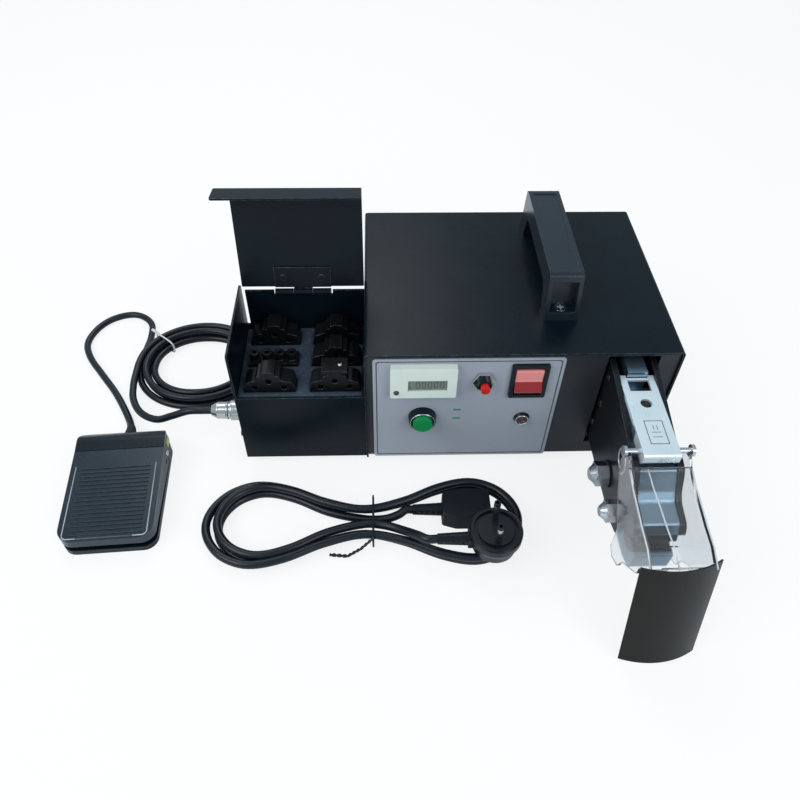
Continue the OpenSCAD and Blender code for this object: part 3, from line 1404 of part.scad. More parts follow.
// Mains lead folded into a hank with a drawn-in waist, wound out and in again in two layers
hank_at = [-1, -62];
hank_half_l = 119;
hank_waist = 15.5;
hank_bulge = 45;
hank_turns = 2.5;
hank_rings = 24;
hank_pitch = 9;
function hank_point(i) =
    let (share = i / (hank_turns * hank_rings), angle = 90 + 360 * hank_turns * share,
        inset = hank_pitch * hank_turns / 2 * abs(1 - 2 * share),
        bulge = hank_bulge * (1 - cos(180 * abs(cos(angle)))) / 2)
    [hank_at.x + (hank_half_l - inset) * cos(angle), hank_at.y + (hank_waist + bulge - inset) * sin(angle),
        pile(share, hank_turns, lead_low, lead_d + layer_gap)];
hank_loops = [for (i = [0:hank_turns * hank_rings]) hank_point(i)];
hank_start = hank_loops[0] + [lead_d, 0, 0];
hank_end = hank_loops[len(hank_loops) - 1] + [lead_d, 0, 0];
module lead_hank() {
    echo(hank_least_gap = least_gap(hank_loops, lead_d));
    color("#131416") tube(concat([hank_start], hank_loops, [hank_end]), lead_d / 2, 6);
}

// Connector for the machine's inlet, lying on the bench inside the hank
iec_at = [57, -53.5];
iec_l = 36;
iec_w = 24;
iec_h = 18;
iec_z = iec_h / 2;
relief_l = 22;
relief_d = 10;
iec_points = [[14, -58.5, 3.4], [24, -56.5, 6.5], [30, -53.5, 9]];
// Mains plug, lying face up on the loops
plug_at = [92, -88];
plug_h = 21;
plug_z = 13.4;
plug_axis_z = 23;
plug_points = [[14, -68, 9.6], [26, -74, 13], [37, -83, 20.5], [44, -88, 23]];
module lead_ends() {
    color("#131416") {
        tube(concat([hank_start, hank_start + [lead_d / 2, 0, 0]], smooth(iec_points),
            [[iec_at.x - relief_l, iec_at.y, iec_z]]), lead_d / 2, 8);
        tube(concat([hank_end, hank_end + [lead_d / 2, 0, 0]], smooth(plug_points),
            [[plug_at.x - plug_d / 2 - relief_l, plug_at.y, plug_axis_z]]),
            lead_d / 2, 8);
    }
}
// Slotted strain relief along X
module relief(x, y, z) {
    slots = 4;
    slot_w = 1.5;
    step = relief_l / (slots + 1);
    difference() {
        translate([x - relief_l, y, z]) rotate([0, 90, 0]) cylinder(d1 = lead_d * 1.2, d2 = relief_d,
            h = relief_l);
        for (i = [1:slots], side = [-1, 1]) {
            translate([x - i * step, y + side * relief_d / 2, z])
                cube([slot_w, relief_d / 2 * 0.6, relief_d], center = true);
        }
    }
}
module iec_connector() {
    color("#131416") {
        relief(iec_at.x, iec_at.y, iec_z);
        difference() {
            along_z([0, iec_h]) polygon(rounded([[iec_at.x, iec_at.y - iec_w * 0.35, bend_r],
                [iec_at.x + iec_l * 0.3, iec_at.y - iec_w / 2, bend_r], [iec_at.x + iec_l,
                    iec_at.y - iec_w / 2],
                [iec_at.x + iec_l, iec_at.y + iec_w / 2], [iec_at.x + iec_l * 0.3, iec_at.y + iec_w / 2,
                    bend_r],
                [iec_at.x, iec_at.y + iec_w * 0.35, bend_r]]));
            for (share = blade_shares) {
                translate([iec_at.x + iec_l - blade_l, iec_at.y + share.x * iec_w - blade_t / 2 - gap,
                    iec_z + (share.y - 0.2) * iec_h - blade_w / 2])
                    cube([blade_l + cut, blade_t + 2 * gap, blade_w + 2 * gap]);
            }
        }
    }
}
prong_d = 4.8;
prong_l = 19;
prong_gap = 19;
module mains_plug() {
    face = plug_z + plug_h;
    rim = 3;
    recess = 2;
    color("#131416") {
        relief(plug_at.x - plug_d / 2, plug_at.y, plug_axis_z);
        difference() {
            union() {
                translate([plug_at.x, plug_at.y, 0]) rotate_extrude() polygon([[0, plug_z], [plug_d * 0.36, plug_z],
                    [plug_d * 0.42, plug_z + plug_h * 0.1], [plug_d * 0.45, plug_z + plug_h * 0.45],
                    [plug_d / 2, plug_z + plug_h * 0.7], [plug_d / 2, face - rim / 3], [plug_d / 2 - rim / 3, face],
                    [0, face]]);
                block([plug_at.x - plug_d / 2 - gap, plug_at.x], [plug_at.y - relief_d / 2,
                    plug_at.y + relief_d / 2],
                    [plug_axis_z - relief_d / 2, plug_axis_z + relief_d / 2]);
            }
            difference() {
                bar_z(plug_at.x, plug_at.y, [face - recess, face + cut], plug_d - 2 * rim);
                bar_z(plug_at.x, plug_at.y, [face - recess - cut, face + 2 * cut], plug_d - 4 * rim);
            }
        }
    }
    color(zinc) for (side = [-1, 1]) {
        bar_z(plug_at.x, plug_at.y + side * prong_gap / 2, [face - recess, face + prong_l], prong_d);
    }
}

// Centre of the whole machine on the bench, without its cords
pedal_left = pedal_at.x - (pedal_w / 2 - pedal_r) * cos(pedal_turn) - (pedal_l / 2 - pedal_r) * sin(pedal_turn) - pedal_r;
origin_x = (pedal_left + housing_w + cover_head_h) / 2;
origin_y = (min([for (a = flap_angles) flap_foot(a)]) + housing_d + inlet_flange_t) / 2;

placed() housing_cover();
placed() base_chassis();
placed() cover_screws();
placed() rubber_feet();
placed() storage_tray();
placed() foam_insert();
placed() spare_dies_left();
placed() spare_dies_right();
placed() spare_locators();
placed() wall_hinge_leaf();
placed() hinge_pin();
placed() carry_handle();
placed() handle_screws();
placed() control_panel();
placed() counter_body();
placed() counter_window();
placed() counter_key();
placed() breaker_body();
placed() breaker_nut();
placed() breaker_button();
placed() rocker_frame();
placed() rocker();
placed() button_bezel();
placed() green_button();
placed() led_bezel();
placed() led_lens();
placed() head_plate_left();
placed() head_plate_right();
placed() upper_jaw();
placed() upper_die();
placed() lower_jaw();
placed() lower_die();
placed() jaw_roller();
placed() cam_shaft();
placed() cam_bearings();
placed() through_bolts();
placed() bolt_washers();
placed() top_bracket();
placed() guard();
placed() guard_flap();
placed() guard_pivot_screws();
placed() gearbox();
placed() motor();
placed() control_board();
placed() inlet_socket();
placed() aviation_socket();
placed() lid_panel();
placed() lid_hinge_leaf();
placed() pedal_base();
placed() pedal_tread();
placed() pedal_pin();
placed() pedal_cord();
placed() pedal_coil();
placed() plug_cord();
placed() pedal_plug();
placed() coil_tie();
placed() lead_hank();
placed() lead_ends();
placed() mains_plug();
placed() iec_connector();
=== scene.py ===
"""Terminal crimping machine: finishes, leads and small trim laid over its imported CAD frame."""

import bmesh
import bpy
import numpy as np
from bpy.props import FloatProperty, FloatVectorProperty, PointerProperty
from mathutils import Matrix, Vector


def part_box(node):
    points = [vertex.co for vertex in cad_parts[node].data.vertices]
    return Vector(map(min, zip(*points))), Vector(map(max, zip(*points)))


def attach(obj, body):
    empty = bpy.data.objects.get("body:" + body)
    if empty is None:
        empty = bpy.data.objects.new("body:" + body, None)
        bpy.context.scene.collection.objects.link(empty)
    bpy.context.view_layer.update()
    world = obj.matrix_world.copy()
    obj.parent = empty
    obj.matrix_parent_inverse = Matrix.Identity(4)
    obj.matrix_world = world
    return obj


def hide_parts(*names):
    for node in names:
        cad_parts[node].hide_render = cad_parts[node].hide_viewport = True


bl_info = {
    "name": "Terminal crimping machine",
    "version": (1, 0, 0),
    "blender": (4, 5, 0),
    "location": "3D View > Sidebar > Crimper",
    "description": "Finishes, leads and small trim of a bench crimping machine",
    "category": "Object",
}

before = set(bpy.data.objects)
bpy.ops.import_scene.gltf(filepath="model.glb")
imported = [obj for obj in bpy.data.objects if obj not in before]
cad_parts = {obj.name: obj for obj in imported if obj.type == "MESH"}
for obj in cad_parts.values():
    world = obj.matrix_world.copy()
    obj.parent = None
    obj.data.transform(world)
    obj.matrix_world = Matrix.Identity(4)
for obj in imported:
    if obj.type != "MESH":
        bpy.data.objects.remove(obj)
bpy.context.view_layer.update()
MM = 0.001
# The drawing's zero lies at the seam of tray and housing, in millimetres from the frame's own zero
ZERO = np.array((-0.1014, -0.26, 0.0))
MACHINE = "machine"


def colour(name, shade, what):
    return FloatVectorProperty(name=name, description=what, default=shade, size=3, min=0.0, max=1.0,
                               subtype="COLOR")


def length(name, millimetres, what):
    return FloatProperty(name=name, description=what, default=millimetres * MM, min=0.0, unit="LENGTH")


class CrimperSizes(bpy.types.PropertyGroup):
    """Sizes of the leads and trim, in metres"""

    pedal_cord_d: length("Pedal cord", 6.0, "Diameter of the foot pedal's cord")
    mains_lead_d: length("Mains lead", 6.5, "Diameter of the mains lead")
    tie_d: length("Tie", 1.5, "Thickness of the wire that ties a cord")
    foam_lip: length("Foam lip", 0.7, "Rounding of the foam round its pockets")
    border_w: length("Border line", 0.8, "Width of the line round the grey plate")
    pin_d: length("Plug pin", 4.9, "Diameter of the mains plug's pins")


class CrimperColours(bpy.types.PropertyGroup):
    """Main colours of the machine"""

    coat: colour("Coated steel", (0.0024, 0.0062, 0.0105), "Satin black coat on the sheet metal")
    plate: colour("Control plate", (0.34, 0.36, 0.40), "Grey plate behind the controls")
    foam: colour("Foam", (0.034, 0.052, 0.078), "Dark blue-grey foam in the tray")
    rocker: colour("Rocker", (0.62, 0.012, 0.010), "Red of the mains rocker")
    start: colour("Start button", (0.0, 0.235, 0.062), "Green of the start button")
    floor: colour("Floor", (0.92, 0.92, 0.92), "Plain pale floor")


def sizes():
    return bpy.context.scene.crimper_sizes


def colours():
    return bpy.context.scene.crimper_colours


# ---------------------------------------------------------------- surfaces


def at(points):
    """Points of the drawing, in millimetres, as metres of the frame."""
    return (np.asarray(points, float) + ZERO) * MM


def quads(rows, columns, rows_meet=False, columns_meet=False):
    """Faces of a grid of points, row after row; a grid may close on itself either way."""
    i = np.arange(rows if rows_meet else rows - 1)[:, None]
    j = np.arange(columns if columns_meet else columns - 1)[None, :]
    here, below = i * columns, ((i + 1) % rows) * columns
    right = (j + 1) % columns
    return np.stack([here + j, here + right, below + right, below + j], axis=-1).reshape(-1, 4).tolist()


def piece(name, points, faces, finish, body=MACHINE, smooth=True):
    """Puts points and faces into a mesh with one finish, riding on a body."""
    mesh = bpy.data.meshes.new(name)
    mesh.from_pydata(np.asarray(points, float).tolist(), [], faces)
    shell = bmesh.new()
    shell.from_mesh(mesh)
    bmesh.ops.recalc_face_normals(shell, faces=shell.faces)
    shell.to_mesh(mesh)
    shell.free()
    mesh.polygons.foreach_set("use_smooth", np.full(len(mesh.polygons), smooth))
    mesh.materials.append(MATERIALS[finish])
    made = bpy.data.objects.new(name, mesh)
    bpy.context.scene.collection.objects.link(made)
    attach(made, body)
    return made


def joined(parts):
    """Several point and face lists as one."""
    points, faces, start = [], [], 0
    for some, theirs in parts:
        points.append(np.asarray(some, float))
        faces += [[k + start for k in face] for face in theirs]
        start += len(some)
    return np.concatenate(points), faces


def swept(path, radius, sides=12, closed=False, up=(0.0, 0.0, 1.0)):
    """Circle carried along a path: p(s, a) = path(s) + radius(s)·(cos a·side + sin a·rise), where side is
    up × heading and rise is heading × side."""
    path = np.asarray(path, float)
    radius = np.broadcast_to(np.asarray(radius, float), (len(path),))
    ahead = np.roll(path, -1, 0) - np.roll(path, 1, 0) if closed else np.gradient(path, axis=0)
    ahead /= np.linalg.norm(ahead, axis=1, keepdims=True)
    side = np.cross(np.broadcast_to(up, path.shape), ahead)
    side /= np.linalg.norm(side, axis=1, keepdims=True)
    rise = np.cross(ahead, side)
    a = np.linspace(0, 2 * np.pi, sides, endpoint=False)
    rings = path[:, None] + radius[:, None, None] * (
        np.cos(a)[None, :, None] * side[:, None] + np.sin(a)[None, :, None] * rise[:, None])
    faces = quads(len(path), sides, closed, True)
    if not closed:
        last = (len(path) - 1) * sides
        faces += [list(range(sides)), list(range(last, last + sides))[::-1]]
    return rings.reshape(-1, 3), faces


def turned(profile, centre, axis, steps=40, waves=0, wave_h=0.0):
    """Turned surface: p(s, a) = centre + s·axis + r·(cos a·u + sin a·v), with r of the profile at s raised
    by wave_h·cos(waves·a) where the profile's third value is 1. Profile and wave are in millimetres."""
    profile = np.asarray([tuple(p) + (0,) * (3 - len(p)) for p in profile], float)
    axis = np.asarray(axis, float) / np.linalg.norm(axis)
    u = np.cross(axis, (0.0, 1.0, 0.0) if abs(axis[1]) < 0.9 else (1.0, 0.0, 0.0))
    u /= np.linalg.norm(u)
    v = np.cross(axis, u)
    a = np.linspace(0, 2 * np.pi, steps, endpoint=False)
    r = (profile[:, 1, None] + profile[:, 2, None] * wave_h * np.cos(waves * a)[None]) * MM
    points = (np.asarray(centre, float) + profile[:, 0, None, None] * MM * axis
              + r[..., None] * (np.cos(a)[None, :, None] * u + np.sin(a)[None, :, None] * v))
    faces = quads(len(profile), steps, False, True)
    last = (len(profile) - 1) * steps
    faces += [list(range(steps))[::-1], list(range(last, last + steps))]
    return points.reshape(-1, 3), faces


def turned_ring(profile, centre, axis, steps=40, waves=0, wave_h=0.0):
    """Turned surface without end caps, whose last circle joins its first."""
    points, faces = turned(profile, centre, axis, steps, waves, wave_h)
    j = np.arange(steps)
    k = (j + 1) % steps
    last = (len(profile) - 1) * steps
    return points, faces[:-2] + np.stack([last + j, last + k, k, j], -1).tolist()


def slab(outline, low, high, chamfer, place):
    """Flat plate with eased edges: the outline at low, again just under high, then drawn in by the chamfer at
    high. place turns each (u, v, w) of the plate into the frame's metres."""
    outline = np.asarray(outline, float)
    middle = outline.mean(0)
    reach = np.linalg.norm(outline - middle, axis=1, keepdims=True)
    inner = middle + (outline - middle) * (1 - chamfer / reach)
    levels = [(outline, low), (outline, high - chamfer), (inner, high)]
    points = np.concatenate([np.column_stack([ring, np.full(len(ring), w)]) for ring, w in levels])
    n = len(outline)
    faces = quads(3, n, False, True)
    faces += [list(range(n))[::-1], list(range(2 * n, 3 * n))]
    return place(points), faces


def round_rect(u, v, radius, steps=6):
    """Corner circles of a rounded rectangle, anticlockwise."""
    a = np.linspace(0, np.pi / 2, steps)
    corners = [(u[1] - radius, v[1] - radius, 0), (u[0] + radius, v[1] - radius, 1),
               (u[0] + radius, v[0] + radius, 2), (u[1] - radius, v[0] + radius, 3)]
    return np.concatenate([np.column_stack([x + radius * np.cos(a + q * np.pi / 2),
                                            y + radius * np.sin(a + q * np.pi / 2)]) for x, y, q in corners])


def band(outline, width, low, high, place):
    """Thin frame along a rounded outline: outer and inner edge at two heights, joined into a closed ring."""
    outline = np.asarray(outline, float)
    middle = outline.mean(0)
    inner = middle + (outline - middle) * (1 - width / np.abs(outline - middle).max(0))
    rings = [(outline, low), (outline, high), (inner, high), (inner, low)]
    points = np.concatenate([np.column_stack([ring, np.full(len(ring), w)]) for ring, w in rings])
    return place(points), quads(4, len(outline), True, True)


def on_front(y):
    """Plate lying on a wall that faces the front: u to the right, v up, w out of the wall, from depth y."""
    return lambda p: at(np.column_stack([p[:, 0], y - p[:, 2], p[:, 1]]))


def on_top(z):
    """Plate lying flat: u to the right, v to the rear, w up, from height z."""
    return lambda p: at(np.column_stack([p[:, 0], p[:, 1], z + p[:, 2]]))


# ---------------------------------------------------------------- finishes

# Noise scales, in waves a metre
MOTTLE_SCALE = 38.0
PATCH_SCALE = 260.0
SPECK_SCALE = 620.0
# How fast a bent normal counts as an edge; where rubbed patches and specks begin, and how fast they fill
EDGE_GAIN = 5.0
PATCH_FROM, PATCH_GAIN = 0.3, 2.2
SPECK_FROM, SPECK_GAIN = 0.56, 3.0
DUST_SHADE = (0.35, 0.34, 0.32)
# An edge without a colour of its own is rubbed to its shade times the gain plus the lift
WORN_GAIN, WORN_LIFT = 2.2, 0.03
BUMP_H = 0.2 * MM
COAT_ROUGH = 0.08
ACRYLIC_IOR = 1.49
# Sharpness of the step between a piece's lower colour and the painted highlight colour of its upper part, per
# metre
STEP_GAIN = 1500.0


def group(name, inputs, outputs):
    tree = bpy.data.node_groups.new(name, "ShaderNodeTree")
    for label, kind, value in inputs:
        socket = tree.interface.new_socket(name=label, in_out="INPUT", socket_type=kind)
        if value is not None:
            socket.default_value = value
    for label, kind in outputs:
        tree.interface.new_socket(name=label, in_out="OUTPUT", socket_type=kind)
    return tree, tree.nodes.new("NodeGroupInput"), tree.nodes.new("NodeGroupOutput")


def node(tree, kind, **values):
    made = tree.nodes.new(kind)
    for key, value in values.items():
        setattr(made, key, value)
    return made


def sums(tree, operation, first, second, clamp=False):
    made = node(tree, "ShaderNodeMath", operation=operation, use_clamp=clamp)
    for socket, value in zip(made.inputs, (first, second)):
        if isinstance(value, (int, float)):
            socket.default_value = value
        else:
            tree.links.new(value, socket)
    return made.outputs[0]


def grain_group():
    """Mottle and fine pits of a moulded, cast or coated surface."""
    tree, inputs, outputs = group("Surface grain", [("Scale", "NodeSocketFloat", 900.0)],
                                  [("Mottle", "NodeSocketFloat"), ("Pits", "NodeSocketFloat")])
    place = node(tree, "ShaderNodeTexCoord").outputs["Object"]
    fine = node(tree, "ShaderNodeTexNoise")
    fine.inputs["Detail"].default_value = 4.0
    tree.links.new(place, fine.inputs["Vector"])
    tree.links.new(inputs.outputs["Scale"], fine.inputs["Scale"])
    broad = node(tree, "ShaderNodeTexNoise")
    broad.inputs["Scale"].default_value = MOTTLE_SCALE
    broad.inputs["Detail"].default_value = 3.0
    tree.links.new(place, broad.inputs["Vector"])
    tree.links.new(broad.outputs["Fac"], outputs.inputs["Mottle"])
    tree.links.new(fine.outputs["Fac"], outputs.inputs["Pits"])
    return tree


def edge_group():
    """Rounded normal of sharp edges, and a broken mask of where they are rubbed, which the black coat colours
    as painted edge highlights.
    """
    tree, inputs, outputs = group("Rubbed edges and painted highlights",
                                  [("Radius", "NodeSocketFloat", 0.5 * MM), ("Rub", "NodeSocketFloat", 0.5)],
                                  [("Mask", "NodeSocketFloat"), ("Normal", "NodeSocketVector")])
    soft = node(tree, "ShaderNodeBevel", samples=4)
    tree.links.new(inputs.outputs["Radius"], soft.inputs["Radius"])
    flat = node(tree, "ShaderNodeNewGeometry").outputs["Normal"]
    dot = node(tree, "ShaderNodeVectorMath", operation="DOT_PRODUCT")
    tree.links.new(soft.outputs[0], dot.inputs[0])
    tree.links.new(flat, dot.inputs[1])
    bent = sums(tree, "MULTIPLY", sums(tree, "SUBTRACT", 1.0, dot.outputs["Value"]), EDGE_GAIN, True)
    place = node(tree, "ShaderNodeTexCoord").outputs["Object"]
    broken = node(tree, "ShaderNodeTexNoise")
    broken.inputs["Scale"].default_value = PATCH_SCALE
    tree.links.new(place, broken.inputs["Vector"])
    over = sums(tree, "SUBTRACT", broken.outputs["Fac"], PATCH_FROM, True)
    patchy = sums(tree, "MULTIPLY", over, PATCH_GAIN, True)
    rubbed = sums(tree, "MULTIPLY", sums(tree, "MULTIPLY", bent, patchy), inputs.outputs["Rub"], True)
    tree.links.new(rubbed, outputs.inputs["Mask"])
    tree.links.new(soft.outputs[0], outputs.inputs["Normal"])
    return tree


def dust_group():
    """Fine dust that settles in specks on faces that look up."""
    tree, inputs, outputs = group("Settled dust", [("Amount", "NodeSocketFloat", 0.2)],
                                  [("Mask", "NodeSocketFloat")])
    facing = node(tree, "ShaderNodeSeparateXYZ")
    tree.links.new(node(tree, "ShaderNodeNewGeometry").outputs["Normal"], facing.inputs[0])
    place = node(tree, "ShaderNodeTexCoord").outputs["Object"]
    specks = node(tree, "ShaderNodeTexNoise")
    specks.inputs["Scale"].default_value = SPECK_SCALE
    specks.inputs["Detail"].default_value = 6.0
    tree.links.new(place, specks.inputs["Vector"])
    over = sums(tree, "SUBTRACT", specks.outputs["Fac"], SPECK_FROM, True)
    sparse = sums(tree, "MULTIPLY", over, SPECK_GAIN, True)
    upward = sums(tree, "MULTIPLY", facing.outputs["Z"], sparse, True)
    tree.links.new(sums(tree, "MULTIPLY", upward, inputs.outputs["Amount"], True), outputs.inputs["Mask"])
    return tree


def hairline_group():
    """Long fine scratches along one way, as drawn and brushed metal has."""
    tree, inputs, outputs = group("Hairlines", [("Stretch", "NodeSocketVector", (60.0, 60.0, 3000.0))],
                                  [("Lines", "NodeSocketFloat")])
    place = node(tree, "ShaderNodeTexCoord").outputs["Object"]
    scaled = node(tree, "ShaderNodeVectorMath", operation="MULTIPLY")
    tree.links.new(place, scaled.inputs[0])
    tree.links.new(inputs.outputs["Stretch"], scaled.inputs[1])
    lines = node(tree, "ShaderNodeTexNoise")
    lines.inputs["Scale"].default_value = 1.0
    lines.inputs["Detail"].default_value = 3.0
    tree.links.new(scaled.outputs[0], lines.inputs["Vector"])
    tree.links.new(lines.outputs["Fac"], outputs.inputs["Lines"])
    return tree


MATERIALS = {}
GROUPS = {}
# Colour of bare steel, for edges of dark sheet and oxide that are rubbed through
BARE_STEEL = (0.42, 0.43, 0.45)


def finish(name, shade, rough, metal=0.0, grain=900.0, pits=0.12, mottle=0.25, rub=0.3, edge_wear_and_highlight=None, radius=0.5,
           dust=0.15, lines=None, coat=0.0, clear=0.0, vary=0.12, gleam=0.5, above=None):
    """Procedural finish: mottled colour with rubbed edges, which on the black coat are painted edge highlights,
    settled dust, a painted highlight above a given height where asked, roughness that varies with the mottle
    and the pits, and a bump of pits or hairlines on rounded edges."""
    material = bpy.data.materials.new(name)
    material.use_nodes = True
    tree = material.node_tree
    shader = tree.nodes["Principled BSDF"]
    grains = node(tree, "ShaderNodeGroup", node_tree=GROUPS["grain"])
    grains.inputs["Scale"].default_value = grain
    edges = node(tree, "ShaderNodeGroup", node_tree=GROUPS["edge"])
    edges.inputs["Radius"].default_value = radius * MM
    edges.inputs["Rub"].default_value = rub
    specks = node(tree, "ShaderNodeGroup", node_tree=GROUPS["dust"])
    specks.inputs["Amount"].default_value = dust

    def blend(factor, first, second):
        made = node(tree, "ShaderNodeMix", data_type="RGBA")
        tree.links.new(factor, made.inputs["Factor"])
        for socket, value in ((made.inputs["A"], first), (made.inputs["B"], second)):
            if isinstance(value, tuple):
                socket.default_value = value + (1.0,)
            else:
                tree.links.new(value, socket)
        return made.outputs["Result"]

    shade = tuple(shade)
    dark = tuple(c * (1 - mottle) for c in shade)
    light = tuple(min(1.0, c * (1 + mottle)) for c in shade)
    tone = blend(grains.outputs["Mottle"], dark, light)
    # Colour of the edge mask: rubbed wear, and on the black coat a painted highlight
    edge_wear_and_highlight = edge_wear_and_highlight or (min(1.0, c * WORN_GAIN + WORN_LIFT) for c in shade)
    tone = blend(edges.outputs["Mask"], tone, tuple(edge_wear_and_highlight))
    tone = blend(specks.outputs["Mask"], tone, DUST_SHADE)
    # Painted highlight: above the given height the piece takes a paler colour that stands in for light falling
    # on it
    if above:
        height, upper = above
        split = node(tree, "ShaderNodeSeparateXYZ")
        tree.links.new(node(tree, "ShaderNodeTexCoord").outputs["Object"], split.inputs[0])
        step = sums(tree, "MULTIPLY", sums(tree, "SUBTRACT", split.outputs["Z"], height), STEP_GAIN, True)
        tone = blend(step, tone, upper)
    tree.links.new(tone, shader.inputs["Base Color"])
    relief = grains.outputs["Pits"]
    if lines:
        drawn = node(tree, "ShaderNodeGroup", node_tree=GROUPS["lines"])
        drawn.inputs["Stretch"].default_value = lines
        relief = drawn.outputs["Lines"]
    spread = sums(tree, "ADD", sums(tree, "MULTIPLY", grains.outputs["Mottle"], vary),
                  sums(tree, "MULTIPLY", relief, vary))
    tree.links.new(sums(tree, "ADD", spread, rough - vary, True), shader.inputs["Roughness"])
    bump = node(tree, "ShaderNodeBump")
    bump.inputs["Strength"].default_value = pits
    bump.inputs["Distance"].default_value = BUMP_H
    tree.links.new(relief, bump.inputs["Height"])
    tree.links.new(edges.outputs["Normal"], bump.inputs["Normal"])
    tree.links.new(bump.outputs["Normal"], shader.inputs["Normal"])
    shader.inputs["Metallic"].default_value = metal
    shader.inputs["Specular IOR Level"].default_value = gleam
    shader.inputs["Coat Weight"].default_value = coat
    shader.inputs["Coat Roughness"].default_value = COAT_ROUGH
    if clear:
        shader.inputs["Transmission Weight"].default_value = clear
        shader.inputs["IOR"].default_value = ACRYLIC_IOR
    MATERIALS[name] = material
    return material


def make_finishes():
    GROUPS.update(grain=grain_group(), edge=edge_group(), dust=dust_group(), lines=hairline_group())
    paint = colours()
    # Coat: its pale blue-grey rubbed edges are painted highlights along the sheet's edges
    finish("black_coat", paint.coat, 0.30, grain=1500, pits=0.08, mottle=0.3, rub=0.9,
           edge_wear_and_highlight=(0.30, 0.34, 0.38), gleam=0.16, dust=0.03)
    finish("dark_sheet", (0.030, 0.032, 0.036), 0.45, metal=0.4, rub=0.4, edge_wear_and_highlight=BARE_STEEL)
    finish("zinc", (0.80, 0.89, 0.92), 0.30, metal=0.55, grain=260, pits=0.06, mottle=0.16, rub=0.3,
           edge_wear_and_highlight=(0.75, 0.76, 0.78), lines=(900.0, 40.0, 900.0))
    finish("rubber", (0.012, 0.012, 0.012), 0.8, grain=1400, pits=0.3, rub=0.1)
    finish("foam", paint.foam, 0.93, grain=2300, pits=0.9, mottle=0.35, rub=0.15, radius=0.3, dust=0.35)
    finish("black_oxide", (0.020, 0.022, 0.026), 0.34, metal=0.7, grain=500, pits=0.10, rub=0.9,
           edge_wear_and_highlight=BARE_STEEL, lines=(60.0, 60.0, 1600.0))
    finish("black_plastic", (0.0042, 0.0072, 0.0110), 0.30, grain=2600, pits=0.2, rub=0.3, gleam=0.25,
           dust=0.05)
    finish("cream_plastic", (0.70, 0.76, 0.68), 0.36, grain=900, pits=0.04, mottle=0.05, rub=0.15, dust=0.05,
           edge_wear_and_highlight=(0.85, 0.9, 0.84))
    finish("grey_panel", paint.plate, 0.38, grain=700, pits=0.05, mottle=0.05, rub=0.2, vary=0.05)
    finish("dark_glass", (0.20, 0.235, 0.19), 0.14, grain=300, pits=0.01, mottle=0.05, coat=0.6, vary=0.04,
           dust=0.05)
    finish("chrome", (0.66, 0.67, 0.69), 0.14, metal=1.0, grain=300, pits=0.02, mottle=0.06, vary=0.05)
    finish("red_plastic", paint.rocker, 0.26, grain=900, pits=0.03, mottle=0.12, coat=0.3)
    # Rocker: the red darkened to 0.45 is painted shade on its lower half, and the pale red above 0.0946 m is a
    # painted highlight on its upper half
    finish("rocker_red_painted_light", tuple(c * 0.45 for c in paint.rocker), 0.22, grain=900, pits=0.03, mottle=0.2,
           coat=0.4, above=(0.0946, (0.86, 0.26, 0.24)), dust=0.05)
    finish("green_plastic", paint.start, 0.30, grain=900, pits=0.05, mottle=0.15, coat=0.3)
    finish("dark_red", (0.055, 0.004, 0.004), 0.18, grain=900, pits=0.02, coat=0.5)
    finish("jaw_steel", (0.20, 0.29, 0.37), 0.32, metal=0.9, grain=300, pits=0.08, rub=0.5,
           edge_wear_and_highlight=(0.62, 0.64, 0.66), lines=(60.0, 60.0, 1900.0))
    finish("die_steel", (0.016, 0.016, 0.018), 0.34, metal=0.7, grain=800, pits=0.14, rub=0.8,
           edge_wear_and_highlight=(0.30, 0.31, 0.33))
    finish("bright_steel", (0.56, 0.57, 0.59), 0.24, metal=1.0, grain=400, pits=0.05, mottle=0.1, rub=0.3)
    finish("clear_plastic", (0.93, 0.96, 0.98), 0.07, grain=120, pits=0.01, mottle=0.02, rub=0.3, clear=1.0,
           vary=0.03, dust=0.08, edge_wear_and_highlight=(1.0, 1.0, 1.0))
    finish("flap_black", (0.0095, 0.0075, 0.0055), 0.34, grain=420, pits=0.05, rub=0.5, edge_wear_and_highlight=(0.5, 0.5, 0.5),
           radius=0.3, gleam=0.2, dust=0.03)
    finish("cast_grey", (0.16, 0.17, 0.18), 0.6, metal=0.5, grain=520, pits=0.4)
    finish("motor_steel", (0.30, 0.31, 0.32), 0.42, metal=0.9, grain=400, lines=(2400.0, 60.0, 60.0))
    finish("board_green", (0.010, 0.085, 0.035), 0.45, grain=700)
    finish("nickel", (0.55, 0.55, 0.53), 0.24, metal=1.0, grain=500, pits=0.05, mottle=0.1, rub=0.5)
    finish("pedal_plastic", (0.0036, 0.0080, 0.0135), 0.26, grain=1900, pits=0.12, rub=0.5, gleam=0.3,
           dust=0.03)
    finish("tread_plastic", (0.0070, 0.0160, 0.0270), 0.26, grain=1900, pits=0.12, rub=0.6, gleam=0.5,
           dust=0.03)
    finish("handle_plastic", (0.0070, 0.0125, 0.0190), 0.24, grain=2400, pits=0.14, rub=0.5, gleam=0.5,
           dust=0.03)
    finish("cord_black", (0.0046, 0.0080, 0.0125), 0.30, grain=1300, pits=0.12, rub=0.0, gleam=0.35,
           dust=0.03)
    finish("tie_white", (0.74, 0.74, 0.71), 0.45, grain=1600, pits=0.1, mottle=0.06, rub=0.0)
    finish("line_dark", (0.05, 0.055, 0.065), 0.5, grain=1200, rub=0.0, dust=0.05)
    # Pale grey of the painted glints beside the pedal's ribs
    finish("painted_glint_pale", (0.46, 0.47, 0.48), 0.42, grain=1200, rub=0.0, dust=0.05)
    finish("mark_green", (0.02, 0.26, 0.10), 0.5, grain=1500, rub=0.0, dust=0.05)
    finish("sticker", (0.44, 0.56, 0.10), 0.42, grain=900, rub=0.0, dust=0.1)
    # Pale half-clear colour of the painted highlights laid on the guard's edges
    finish("painted_highlight_edge", (0.86, 0.90, 0.93), 0.12, grain=300, pits=0.02, rub=0.0, mottle=0.04, clear=0.35,
           vary=0.03)


